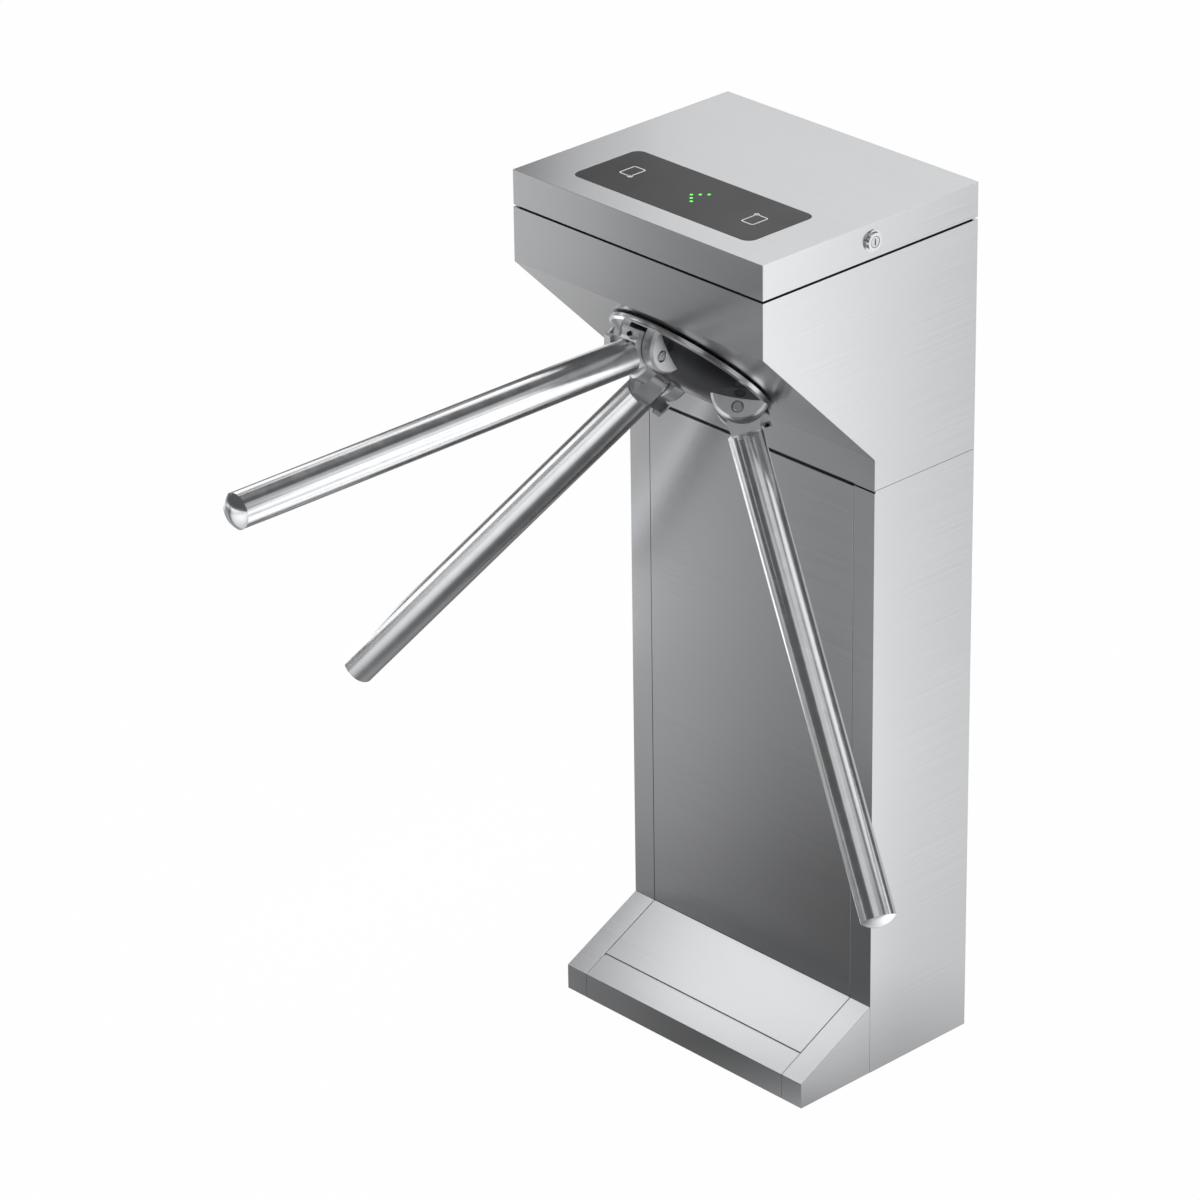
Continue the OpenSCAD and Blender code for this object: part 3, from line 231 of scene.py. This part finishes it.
# %% [markdown]
# ## Cast and ground knuckles
# The ears of the hub and the roots of the arms are investment castings, ground and
# tumbled: a satin metal with a very fine pebble and no direction.

# %% Cast steel
cast, tree, shader, place = new_finish("steel_casting_tumbled", {
    "Base Color": linear("d2d3d5"), "Metallic": 1.0, "Roughness": 0.36})
pebble = add_noise(tree, place, 700.0, 2.0)
patches = add_noise(tree, place, 40.0, 3.0)
keep_finish("cast_steel", cast, shader,
            add_ramp(tree, patches, [(0.3, "cacbcd"), (0.7, "dadbdd")]),
            add_range(tree, patches, (0.3, 0.7), (0.32, 0.40)),
            add_bump(tree, pebble, 0.06, 0.0003))

# %% [markdown]
# ## Pieces that turn about the hub axis
# The dome, the wheel and the gears were all turned on a lathe or hobbed about the
# same tilted axis. Their marks are rings, so the pattern needs the distance of each
# point from that axis. A Mapping node in texture mode carries the object's
# coordinates into the frame of the hub: origin on the slope, Z into the head.

# %% Hub frame
hub_centre = Vector((0, -0.1054505, 0.8174505))
hub_tilt = math.radians(-45)
hub_frame = Matrix.Translation(hub_centre) @ Matrix.Rotation(hub_tilt, 4, "X")


def axis_distance(tree, place, one, other):
    """Adds the distance from an axis, from the names of the directions across it."""
    parts = add_node(tree, "ShaderNodeSeparateXYZ", {}, {"Vector": place})
    flat = add_node(tree, "ShaderNodeCombineXYZ", {},
                    {one: parts.outputs[one], other: parts.outputs[other]})
    size = add_node(tree, "ShaderNodeVectorMath", {"operation": "LENGTH"},
                    {0: flat.outputs[0]})
    return size.outputs["Value"]


def hub_radius(tree, place):
    """Adds the distance from the hub axis."""
    local = add_node(tree, "ShaderNodeMapping",
                     {"vector_type": "TEXTURE", "Location": hub_centre,
                      "Rotation": (hub_tilt, 0, 0)}, {"Vector": place})
    return axis_distance(tree, local.outputs[0], "X", "Y")


def lathe_rings(tree, radius, rate):
    """Adds rings about the hub axis: one every 6.28 / rate metres."""
    return add_math(tree, "SINE", add_math(tree, "MULTIPLY", radius, rate))


print("hub axis", [round(v, 3) for v in hub_frame.to_3x3() @ Vector((0, 0, 1))])

# %% [markdown]
# ## Polished dark dome
# The dome between the ears is spun steel, dark and glossy. Its rim is painted light,
# a painted highlight which draws the thin light ring round the hub. The distance
# from the axis picks the rim out.

# %% Dark dome with a painted rim highlight
rim_highlight_from, rim_highlight_full = 0.0925, 0.0932
dome, tree, shader, place = new_finish("spun_steel_dark_painted_rim_highlight", {
    "Base Color": linear("404145"), "Metallic": 1.0, "Roughness": 0.2})
radius = hub_radius(tree, place)
smudge = add_noise(tree, place, 25.0, 3.0)
# Beyond the rim radius the colour turns light: a painted highlight on the rim
dark_tone_and_rim_highlight = add_node(tree, "ShaderNodeMix", {"data_type": "RGBA", 7: linear("c9cacc")},
                {0: add_range(tree, radius, (rim_highlight_from, rim_highlight_full), (0.0, 1.0)),
                 6: add_ramp(tree, smudge, [(0.3, "3a3b3f"), (0.7, "47484c")])})
keep_finish("dark_steel", dome, shader, dark_tone_and_rim_highlight.outputs[2],
            add_range(tree, smudge, (0.3, 0.7), (0.16, 0.25)),
            add_bump(tree, lathe_rings(tree, radius, 7000.0), 0.02, 0.0001))

# %% [markdown]
# ## Turned steel and hobbed brass
# Shaft, hub core, index wheel and nut come off the lathe with fine feed marks, about
# 0.5 mm apart here so that they still show. The gears are brass with the same
# rings on their faces, duller in patches where grease gathers.

# %% Turned steel and brass
for slot, name, codes, polish in (
        ("machined_steel", "steel_turned", ("9a9da1", "b4b7bb"), (0.22, 0.34)),
        ("brass", "brass_hobbed", ("a88648", "c9a561"), (0.24, 0.38))):
    turned_metal, tree, shader, place = new_finish(name, {
        "Base Color": linear(codes[1]), "Metallic": 1.0, "Roughness": polish[0]})
    oil = add_noise(tree, place, 55.0, 4.0)
    rings = lathe_rings(tree, hub_radius(tree, place), 12000.0)
    keep_finish(slot, turned_metal, shader,
                add_ramp(tree, oil, [(0.35, codes[0]), (0.65, codes[1])]),
                add_range(tree, oil, (0.3, 0.7), polish),
                add_bump(tree, rings, 0.12, 0.0001))

# %% [markdown]
# ## Plated, blackened and bare metals of the inside
# Brackets and plates are zinc plated: bluish grey with a soft bloom of crystals a
# few millimetres across. Screws and the base plate are blackened: nearly black, dry
# and slightly mottled. The bearing housing and the power supply cover are aluminium,
# paler and duller than steel.

# %% Zinc, black oxide and aluminium
crystal_share = 0.35
for slot, name, codes, polish, bloom, bump in (
        ("zinc_steel", "steel_zinc_plated", ("9fa4a6", "bcc0be"), (0.30, 0.46), 220.0, 0.04),
        ("black_steel", "steel_black_oxide", ("1f2022", "35363a"), (0.38, 0.55), 90.0, 0.08),
        ("aluminium", "aluminium_milled", ("a5a7a9", "bdbfc1"), (0.32, 0.44), 120.0, 0.05)):
    plated, tree, shader, place = new_finish(name, {
        "Base Color": linear(codes[1]), "Metallic": 1.0, "Roughness": polish[0]})
    crystals = add_node(tree, "ShaderNodeTexVoronoi", {"Scale": bloom},
                        {"Vector": place}).outputs["Distance"]
    mottle = add_mix(tree, crystal_share, add_noise(tree, place, 30.0, 4.0), crystals)
    keep_finish(slot, plated, shader,
                add_ramp(tree, mottle, [(0.3, codes[0]), (0.65, codes[1])]),
                add_range(tree, mottle, (0.3, 0.65), polish),
                add_bump(tree, crystals, bump, 0.0003))

# %% [markdown]
# ## Mouldings and seal
# Damper, sensor and grommet are black glass-filled nylon: a fine spark-eroded grain
# that is neither matt nor glossy. The lid seal is cellular rubber, blacker and quite
# dull, with small pores.

# %% Black nylon and rubber
for slot, name, codes, polish, grain_size, bump in (
        ("black_plastic", "nylon_moulded_black", ("18191b", "242528"), (0.42, 0.54),
         900.0, 0.15),
        ("seal_rubber", "rubber_cellular", ("0d0d0e", "191a1b"), (0.70, 0.88),
         650.0, 0.35)):
    moulded, tree, shader, place = new_finish(name, {
        "Base Color": linear(codes[1]), "Roughness": polish[0], "IOR": 1.52})
    grain = add_noise(tree, place, grain_size, 2.0)
    keep_finish(slot, moulded, shader,
                add_ramp(tree, grain, [(0.35, codes[0]), (0.65, codes[1])]),
                add_range(tree, grain, (0.3, 0.7), polish),
                add_bump(tree, grain, bump, 0.0002))

# %% [markdown]
# ## Display face, lamps and print
# The face on the lid is 3 mm smoked acrylic, back-painted, so it is dark with a
# clear gloss on top. The arrow is five green lamps that shine by themselves, and
# the two card signs are screen-printed in pale ink.

# %% Smoked acrylic, lamps and ink
acrylic, tree, shader, place = new_finish("acrylic_smoked", {
    "Base Color": linear("242426"), "Roughness": 0.3, "IOR": 1.49,
    "Specular IOR Level": 0.25})
film = add_noise(tree, place, 14.0, 3.0)
keep_finish("window_plastic", acrylic, shader,
            add_ramp(tree, film, [(0.3, "222224"), (0.7, "28282a")]),
            add_range(tree, film, (0.3, 0.7), (0.28, 0.36)))

lamp, tree, shader, place = new_finish("epoxy_lamp_green", {
    "Base Color": linear("2fae1c"), "Roughness": 0.25, "IOR": 1.54,
    "Emission Strength": 2.2})
cells = add_node(tree, "ShaderNodeTexVoronoi", {"Scale": 420.0}, {"Vector": place})
shine = add_ramp(tree, cells.outputs["Distance"], [(0.0, "5df33c"), (0.7, "35c420")])
tree.links.new(shine, shader.inputs["Emission Color"])
keep_finish("lamp_plastic", lamp, shader, shine)

ink, tree, shader, place = new_finish("screen_ink_pale", {
    "Base Color": linear("c9c9c9"), "Roughness": 0.5})
mesh_print = add_noise(tree, place, 1500.0, 1.0)
tree.links.new(add_ramp(tree, mesh_print, [(0.35, "dcdcdc"), (0.65, "f2f2f2")]),
               shader.inputs["Base Color"])
print("made", ink.name)

# %% [markdown]
# ## Circuit boards and lock
# The boards are green solder mask over copper: blocks of track show as slightly
# lighter steps, so a brick of small cells is mixed into the green. The lock is
# chromed zinc: the brightest and smoothest metal here, with a painted shade ring
# about its own axis, which lies along X.

# %% Circuit board and chrome lock
board, tree, shader, place = new_finish("glass_board_solder_mask", {
    "Base Color": linear("15552d"), "Roughness": 0.35, "IOR": 1.5})
tracks = add_node(tree, "ShaderNodeTexVoronoi", {"distance": "MANHATTAN", "Scale": 160.0},
                  {"Vector": place}).outputs["Distance"]
keep_finish("circuit_board", board, shader,
            add_ramp(tree, tracks, [(0.30, "1b6b38"), (0.42, "124a27")]),
            normal=add_bump(tree, tracks, 0.2, 0.0002))

lock_centre = (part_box("lock_body")[0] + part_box("lock_body")[1]) / 2
ramp_reach = 0.02
chrome, tree, shader, place = new_finish("zinc_casting_chromed", {
    "Base Color": linear("cfd1d4"), "Metallic": 1.0, "Roughness": 0.12})
about = add_node(tree, "ShaderNodeVectorMath",
                 {"operation": "SUBTRACT", 1: (0, lock_centre.y, lock_centre.z)},
                 {0: place})
outward = add_math(tree, "MULTIPLY", axis_distance(tree, about.outputs[0], "Y", "Z"),
                   1 / ramp_reach)
polish = add_range(tree, add_noise(tree, place, 300.0, 2.0), (0.3, 0.7), (0.10, 0.18))
# A painted shade ring stands for the gap between plug and barrel, 6 mm from the axis
keep_finish("lock_chrome", chrome, shader,
            add_ramp(tree, outward, [(0.0, "c6c8cb"), (0.27, "c6c8cb"),
                                     (0.30, "3a3b3d"), (0.33, "d2d4d7")]), polish)

# %% [markdown]
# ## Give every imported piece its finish
# The record says which material slot each piece takes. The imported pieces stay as
# they are: only the material in their slots changes.

# %% Put the finishes on
body_of_node = {member: body
                for body, members in frame["record"]["behaviour"]["bodies"].items()
                for member in members}
slot_of_node = {entry["node"]: entry["material_slot"]
                for entry in frame["record"]["subparts"]}
for name, packed in nodes.items():
    finish = finishes[slot_of_node[name]]
    if not packed.material_slots:
        packed.data.materials.append(finish)
    for slot in packed.material_slots:
        slot.material = finish
print("finished", len(slot_of_node), "pieces in", len(set(slot_of_node.values())), "slots")

# %% [markdown]
# ## Soft folds on the cabinet sheets
# A folded sheet never ends in a razor edge: the press brake leaves a radius at the
# fold, and that radius catches a thin line of light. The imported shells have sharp
# corners, so each visible one is copied, its loose triangles are merged into whole
# faces, and a bevel of about half a millimetre rounds every sharp edge.

# %% Round the folds
def deselect():
    """Leaves nothing selected, so that the next operator acts on one piece alone."""
    if bpy.context.object and bpy.context.object.mode != "OBJECT":
        bpy.ops.object.mode_set(mode="OBJECT")
    bpy.ops.object.select_all(action="DESELECT")


def take(piece):
    """Makes one piece the selected and active one."""
    deselect()
    piece.select_set(True)
    bpy.context.view_layer.objects.active = piece


def soft_copy(node, name, fold):
    """Copies a packed shell as a new piece with rounded folds, which replaces it."""
    piece = nodes[node].copy()
    piece.data = nodes[node].data.copy()
    piece.name = name
    piece.parent = None
    for key in list(piece.keys()):
        del piece[key]
    bpy.context.scene.collection.objects.link(piece)
    take(piece)
    bpy.ops.mesh.customdata_custom_splitnormals_clear()
    bpy.ops.object.mode_set(mode="EDIT")
    bpy.ops.mesh.select_all(action="SELECT")
    bpy.ops.mesh.remove_doubles(threshold=0.00001)
    bpy.ops.mesh.dissolve_limited(angle_limit=math.radians(2))
    bpy.ops.object.mode_set(mode="OBJECT")
    softener = piece.modifiers.new("fold", "BEVEL")
    softener.width = fold
    softener.segments = 2
    softener.limit_method = "ANGLE"
    softener.angle_limit = math.radians(35)
    softener.use_clamp_overlap = True
    bpy.ops.object.modifier_apply(modifier=softener.name)
    bpy.ops.object.shade_smooth_by_angle(angle=math.radians(60))
    # The wide faces decide the shading, so that only the narrow folds look round
    evener = piece.modifiers.new("even", "WEIGHTED_NORMAL")
    evener.weight = 100
    evener.keep_sharp = True
    bpy.ops.object.modifier_apply(modifier=evener.name)
    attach(piece, body_of_node[node])
    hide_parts(node)
    return piece


sheets = (("lid", "lid_folded", 0.0005), ("head_shell", "head_folded", 0.0005),
          ("column_shell", "column_folded", 0.0005), ("front_panel", "panel_folded", 0.0004),
          ("left_foot_cheek", "left_cheek_folded", 0.0005),
          ("right_foot_cheek", "right_cheek_folded", 0.0005),
          ("kick_plate", "kick_folded", 0.0004), ("foot_cover", "cover_folded", 0.0004))
for node, name, fold in sheets:
    piece = soft_copy(node, name, fold)
    print(name, len(piece.data.polygons), "faces")

# %% [markdown]
# ## Display face and card signs
# The smoked face lies in the lid, a tenth of a millimetre proud. Two signs on it say
# where to hold a card: the outline of a card with a thumb on its corner, printed in
# pale ink a little under 0.1 mm thick.

# %% Print the card signs
card_width, card_length, card_corner = 0.0178, 0.0242, 0.0032
line_width, ink_height = 0.0015, 0.00008
thumb_radius, thumb_place = 0.0031, (0.0081, -0.0112, 0)


def printed_card(name, middle, turn):
    """Makes the outline of a card with a thumb on one corner."""
    deselect()
    bpy.ops.mesh.primitive_plane_add(size=1)
    piece = bpy.context.object
    piece.name = name
    bpy.ops.object.mode_set(mode="EDIT")
    bpy.ops.transform.resize(value=(card_width, card_length, 1))
    bpy.ops.mesh.bevel(offset=card_corner, segments=5, affect="VERTICES")
    bpy.ops.mesh.select_all(action="SELECT")
    bpy.ops.mesh.inset(thickness=line_width)
    bpy.ops.mesh.delete(type="FACE")
    bpy.ops.object.mode_set(mode="OBJECT")
    bpy.ops.mesh.primitive_circle_add(vertices=20, radius=thumb_radius, fill_type="NGON",
                                      location=thumb_place)
    thumb = bpy.context.object
    take(piece)
    thumb.select_set(True)
    bpy.ops.object.join()
    bpy.ops.object.mode_set(mode="EDIT")
    bpy.ops.mesh.select_all(action="SELECT")
    bpy.ops.mesh.extrude_region_move(TRANSFORM_OT_translate={"value": (0, 0, ink_height)})
    bpy.ops.mesh.select_all(action="SELECT")
    bpy.ops.mesh.normals_make_consistent(inside=False)
    bpy.ops.object.mode_set(mode="OBJECT")
    piece.data.transform(Matrix.Translation(middle) @ Matrix.Rotation(turn, 4, "Z"))
    piece.data.materials.append(ink)
    return piece


print_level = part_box("display_window")[1].z
left_sign = printed_card("left_card_sign", (-0.0902, -0.1022, print_level), 0)
right_sign = printed_card("right_card_sign", (0.0923, -0.1060, print_level), math.pi)
for piece in (left_sign, right_sign):
    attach(piece, "lid")
    print(piece.name, len(piece.data.polygons), "faces")

# %% [markdown]
# ## Stop screws of the arms
# A small black socket screw in the stop block of each arm root, just above the tube,
# draws the dark dot between the ears. One screw is turned from a disc, a hexagon is
# cut into it, and a copy goes to each arm, with its head facing out along the tube.

# %% Model one screw and copy it
head_radius, head_height, head_edge = 0.0026, 0.0024, 0.0004
key_radius, key_depth = 0.0016, 0.0016
pivot_on_hub = (0, -0.0715, -0.0255)
screw_on_arm = (0.0215, 0.0240, 0)


def arm_frame(station):
    """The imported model's own frame of an arm: X along it, Z along its pivot pin."""
    return (hub_frame @ Matrix.Rotation(math.radians(station), 4, "Z")
            @ Matrix.Translation(pivot_on_hub)
            @ Matrix.Rotation(math.radians(135), 4, "X")
            @ Matrix.Rotation(math.radians(-90), 4, "Y"))


deselect()
bpy.ops.mesh.primitive_cylinder_add(vertices=32, radius=head_radius, depth=head_height)
screw = bpy.context.object
screw.name = "stop_screw"
rounding = screw.modifiers.new("edge", "BEVEL")
rounding.width = head_edge
rounding.segments = 2
bpy.ops.object.modifier_apply(modifier=rounding.name)
deselect()
bpy.ops.mesh.primitive_cylinder_add(vertices=6, radius=key_radius, depth=key_depth,
                                    location=(0, 0, head_height / 2))
key = bpy.context.object
take(screw)
socket = screw.modifiers.new("socket", "BOOLEAN")
socket.object = key
socket.solver = "EXACT"
bpy.ops.object.modifier_apply(modifier=socket.name)
bpy.data.objects.remove(key)
bpy.ops.object.shade_smooth_by_angle(angle=math.radians(35))
screw.data.materials.append(finishes["black_steel"])
for letter, station in (("a", 0), ("b", -120), ("c", 120)):
    piece = screw.copy()
    piece.data = screw.data.copy()
    piece.name = "stop_screw_" + letter
    bpy.context.scene.collection.objects.link(piece)
    piece.data.transform(arm_frame(station) @ Matrix.Translation(screw_on_arm)
                         @ Matrix.Rotation(math.radians(90), 4, "Y"))
    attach(piece, "arm_" + letter)
    print(piece.name, len(piece.data.polygons), "faces")
bpy.data.objects.remove(screw)

# %% [markdown]
# ## Studio floor
# The picture has a pure white ground with no edge. A large pale floor stands for
# it. What the camera sees of it glows at the strength of white, and a small part
# stays lit paint, so that the foot keeps its shadow. Steel mirrors the floor too,
# and there the real floor was not even: bright behind the turnstile, in shade
# before it and darkest close to the foot, brighter again outwards on both sides,
# with a pool of light at the front right. Curves along the view and across it draw
# this floor for the rays from glossy and clear surfaces.

# %% Lay the floor
floor_size, floor_level = 60, -0.0006
glow_share = 0.98
# A curve can't pass 1, so each one holds the brightness divided by this
full = 2.0
deselect()
bpy.ops.mesh.primitive_plane_add(size=floor_size, location=(0, 0, floor_level))
floor = bpy.context.object
floor.name = "studio_floor"
paint = bpy.data.materials.new("floor_paint_white")
paint.use_nodes = True
tree = paint.node_tree
tree.nodes.clear()
place = add_node(tree, "ShaderNodeTexCoord").outputs["Object"]


def ray_kinds(tree):
    """Gives 1 for a ray from the camera, and 1 for one from a glossy or clear surface."""
    rays = add_node(tree, "ShaderNodeLightPath").outputs
    return rays["Is Camera Ray"], add_math(tree, "MAXIMUM", rays["Is Glossy Ray"],
                                           rays["Is Transmission Ray"])


def light_along(direction, stops):
    """Adds a curve of brightness along a direction, from (metres, brightness) pairs."""
    reach = add_node(tree, "ShaderNodeVectorMath",
                     {"operation": "DOT_PRODUCT", 1: direction}, {0: place})
    first, last = stops[0][0], stops[-1][0]
    span = add_range(tree, reach.outputs["Value"], (first, last), (0.0, 1.0))
    curve = add_node(tree, "ShaderNodeFloatCurve", {}, {"Value": span})
    line = curve.mapping.curves[0]
    line.points[0].location = (0, stops[0][1] / full)
    line.points[1].location = (1, stops[-1][1] / full)
    for at, bright in stops[1:-1]:
        line.points.new((at - first) / (last - first), bright / full)
    curve.mapping.update()
    return curve.outputs[0]


away, across = (0.7071, 0.7071, 0), (0.7071, -0.7071, 0)
beside_pool = (0.884, -0.530, 0)
depth = light_along(away, (
    (-6, 1.8), (-3, 0.7), (-1.8, 0.95), (-1.0, 0.95), (-0.5, 0.72), (-0.15, 0.5),
    (0.1, 0.88), (0.45, 1.0), (0.8, 1.05), (1.5, 1.02), (4, 1.05)))
before = light_along(across, (
    (-4, 0.3), (-2.3, 0.55), (-1.5, 0.9), (-1.1, 0.75), (-0.8, 0.6), (-0.5, 0.42),
    (-0.3, 0.48), (-0.15, 0.64), (0.0, 0.48), (0.2, 0.26), (0.6, 0.3), (1.5, 0.6)))
behind = light_along(across, (
    (-3, 0.6), (-0.9, 0.6), (-0.4, 0.5), (-0.1, 0.92), (0.1, 1.05), (0.35, 1.75),
    (0.7, 1.5), (0.95, 0.5), (2.5, 0.5)))
pool_away = light_along(away, (
    (-3, 0.55), (-1.1, 0.78), (-0.74, 0.5), (-0.5, 0.03), (-0.4, 0.0)))
pool_across = light_along(beside_pool, ((-0.02, 0.0), (0.2, 0.9), (0.4, 1.0), (3, 1.0)))
is_behind = light_along(away, ((-0.1, 0.0), (0.35, full)))
pool = add_math(tree, "MULTIPLY", pool_away, pool_across)
level = add_math(tree, "MULTIPLY_ADD", depth, add_mix(tree, is_behind, before, behind), pool)
lit = add_math(tree, "MULTIPLY", level, full * full)
from_camera, mirrored = ray_kinds(tree)
seen = add_math(tree, "MAXIMUM", mirrored, from_camera)
share = add_math(tree, "MULTIPLY", seen, glow_share)
matt = add_node(tree, "ShaderNodeBsdfDiffuse", {"Color": linear("e8e8e8")})
glow = add_node(tree, "ShaderNodeEmission", {"Color": linear("ffffff")},
                {"Strength": add_mix(tree, mirrored, 1.0, lit)})
mixed = add_node(tree, "ShaderNodeMixShader", {},
                 {0: share, 1: matt.outputs[0], 2: glow.outputs[0]})
add_node(tree, "ShaderNodeOutputMaterial", {}, {"Surface": mixed.outputs[0]})
floor.data.materials.append(paint)
print("floor laid, size", floor.dimensions.x, "m")

# %% [markdown]
# ## Room
# Above the horizon the camera sees white as well. The room itself is a soft grey
# that fills the shadows, and steel sees it dimmer than matt pieces do, because the
# walls of the studio stood in shade between the soft boxes. Only its ceiling is
# bright, which steel shows when it is seen from high above.

# %% Light the room
level_for_matt, level_for_camera = 0.6, 1.0
wall_level, ceiling_level = 0.12, 0.65
# The ceiling starts 53 degrees up and is fully bright from 62 degrees up
ceiling_rise = (0.8, 0.88)
world = bpy.data.worlds.new("studio_room")
bpy.context.scene.world = world
world.use_nodes = True
tree = world.node_tree
tree.nodes.clear()
from_camera, mirrored = ray_kinds(tree)
toward = add_node(tree, "ShaderNodeTexCoord")
height = add_node(tree, "ShaderNodeSeparateXYZ", {}, {0: toward.outputs["Generated"]})
ceiling = add_range(tree, height.outputs["Z"], ceiling_rise, (wall_level, ceiling_level))
wall = add_mix(tree, mirrored, level_for_matt, ceiling)
room = add_node(tree, "ShaderNodeBackground", {"Color": linear("ffffff")},
                {"Strength": add_mix(tree, from_camera, wall, level_for_camera)})
add_node(tree, "ShaderNodeOutputWorld", {}, {"Surface": room.outputs[0]})
print("room set")

# %% [markdown]
# ## Soft boxes
# Square soft boxes give the sheets their slow gradients and draw the bright bands
# on the polished arms. Each is set by its place and by how bright its face is: 1 is
# as bright as white paper in full light. The power of such a lamp is pi times its
# area times that brightness. All of them face the middle of the turnstile.

# %% Hang the soft boxes
aim = Vector((0, -0.03, 0.55))
soft_boxes = (
    # name, place, side, brightness
    ("back_left", (-1.25, 1.69, 2.04), 1.3, 0.75),
    ("back_left_high", (-1.09, 1.46, 2.62), 1.0, 1.3),
    ("left", (-2.03, -0.69, 2.04), 1.3, 0.35),
    ("left_back", (-2.03, 0.63, 2.04), 1.3, 0.3),
    ("left_near", (-0.70, -0.20, 1.20), 0.5, 1.1),
    ("left_low", (-0.88, -0.67, 0.70), 0.5, 0.33),
    ("left_edge", (-1.02, -0.48, 0.66), 0.4, 1.3),
    ("left_floor", (-0.70, -0.20, 0.27), 0.35, 1.5),
    ("left_top", (-0.89, -0.68, 2.91), 1.3, 0.5),
    ("back_near", (-0.53, 0.70, 1.18), 0.5, 0.15),
    ("back_right", (2.08, 1.48, 0.91), 1.3, 1.2),
    ("back_right_high", (1.65, 1.25, 2.25), 1.2, 0.5),
    ("right_near", (0.86, 0.25, 1.18), 0.5, 0.65),
    ("right_low", (1.09, -0.03, 0.70), 0.5, 0.5),
    ("right_top", (1.25, -0.48, 2.20), 1.0, 0.55),
    ("front_right", (1.25, -1.75, 2.04), 1.3, 0.65),
)
for name, spot, side, brightness in soft_boxes:
    light = bpy.data.lights.new("soft_box_" + name, "AREA")
    light.shape = "SQUARE"
    light.size = side
    light.energy = math.pi * side * side * brightness
    holder = bpy.data.objects.new(light.name, light)
    holder.visible_camera = False
    bpy.context.scene.collection.objects.link(holder)
    beam = Vector(spot) - aim
    holder.matrix_world = (Matrix.Translation(spot)
                           @ beam.to_track_quat("Z", "Y").to_matrix().to_4x4())
    print(light.name, round(light.energy, 2), "W")
bpy.context.scene.view_settings.view_transform = "Standard"
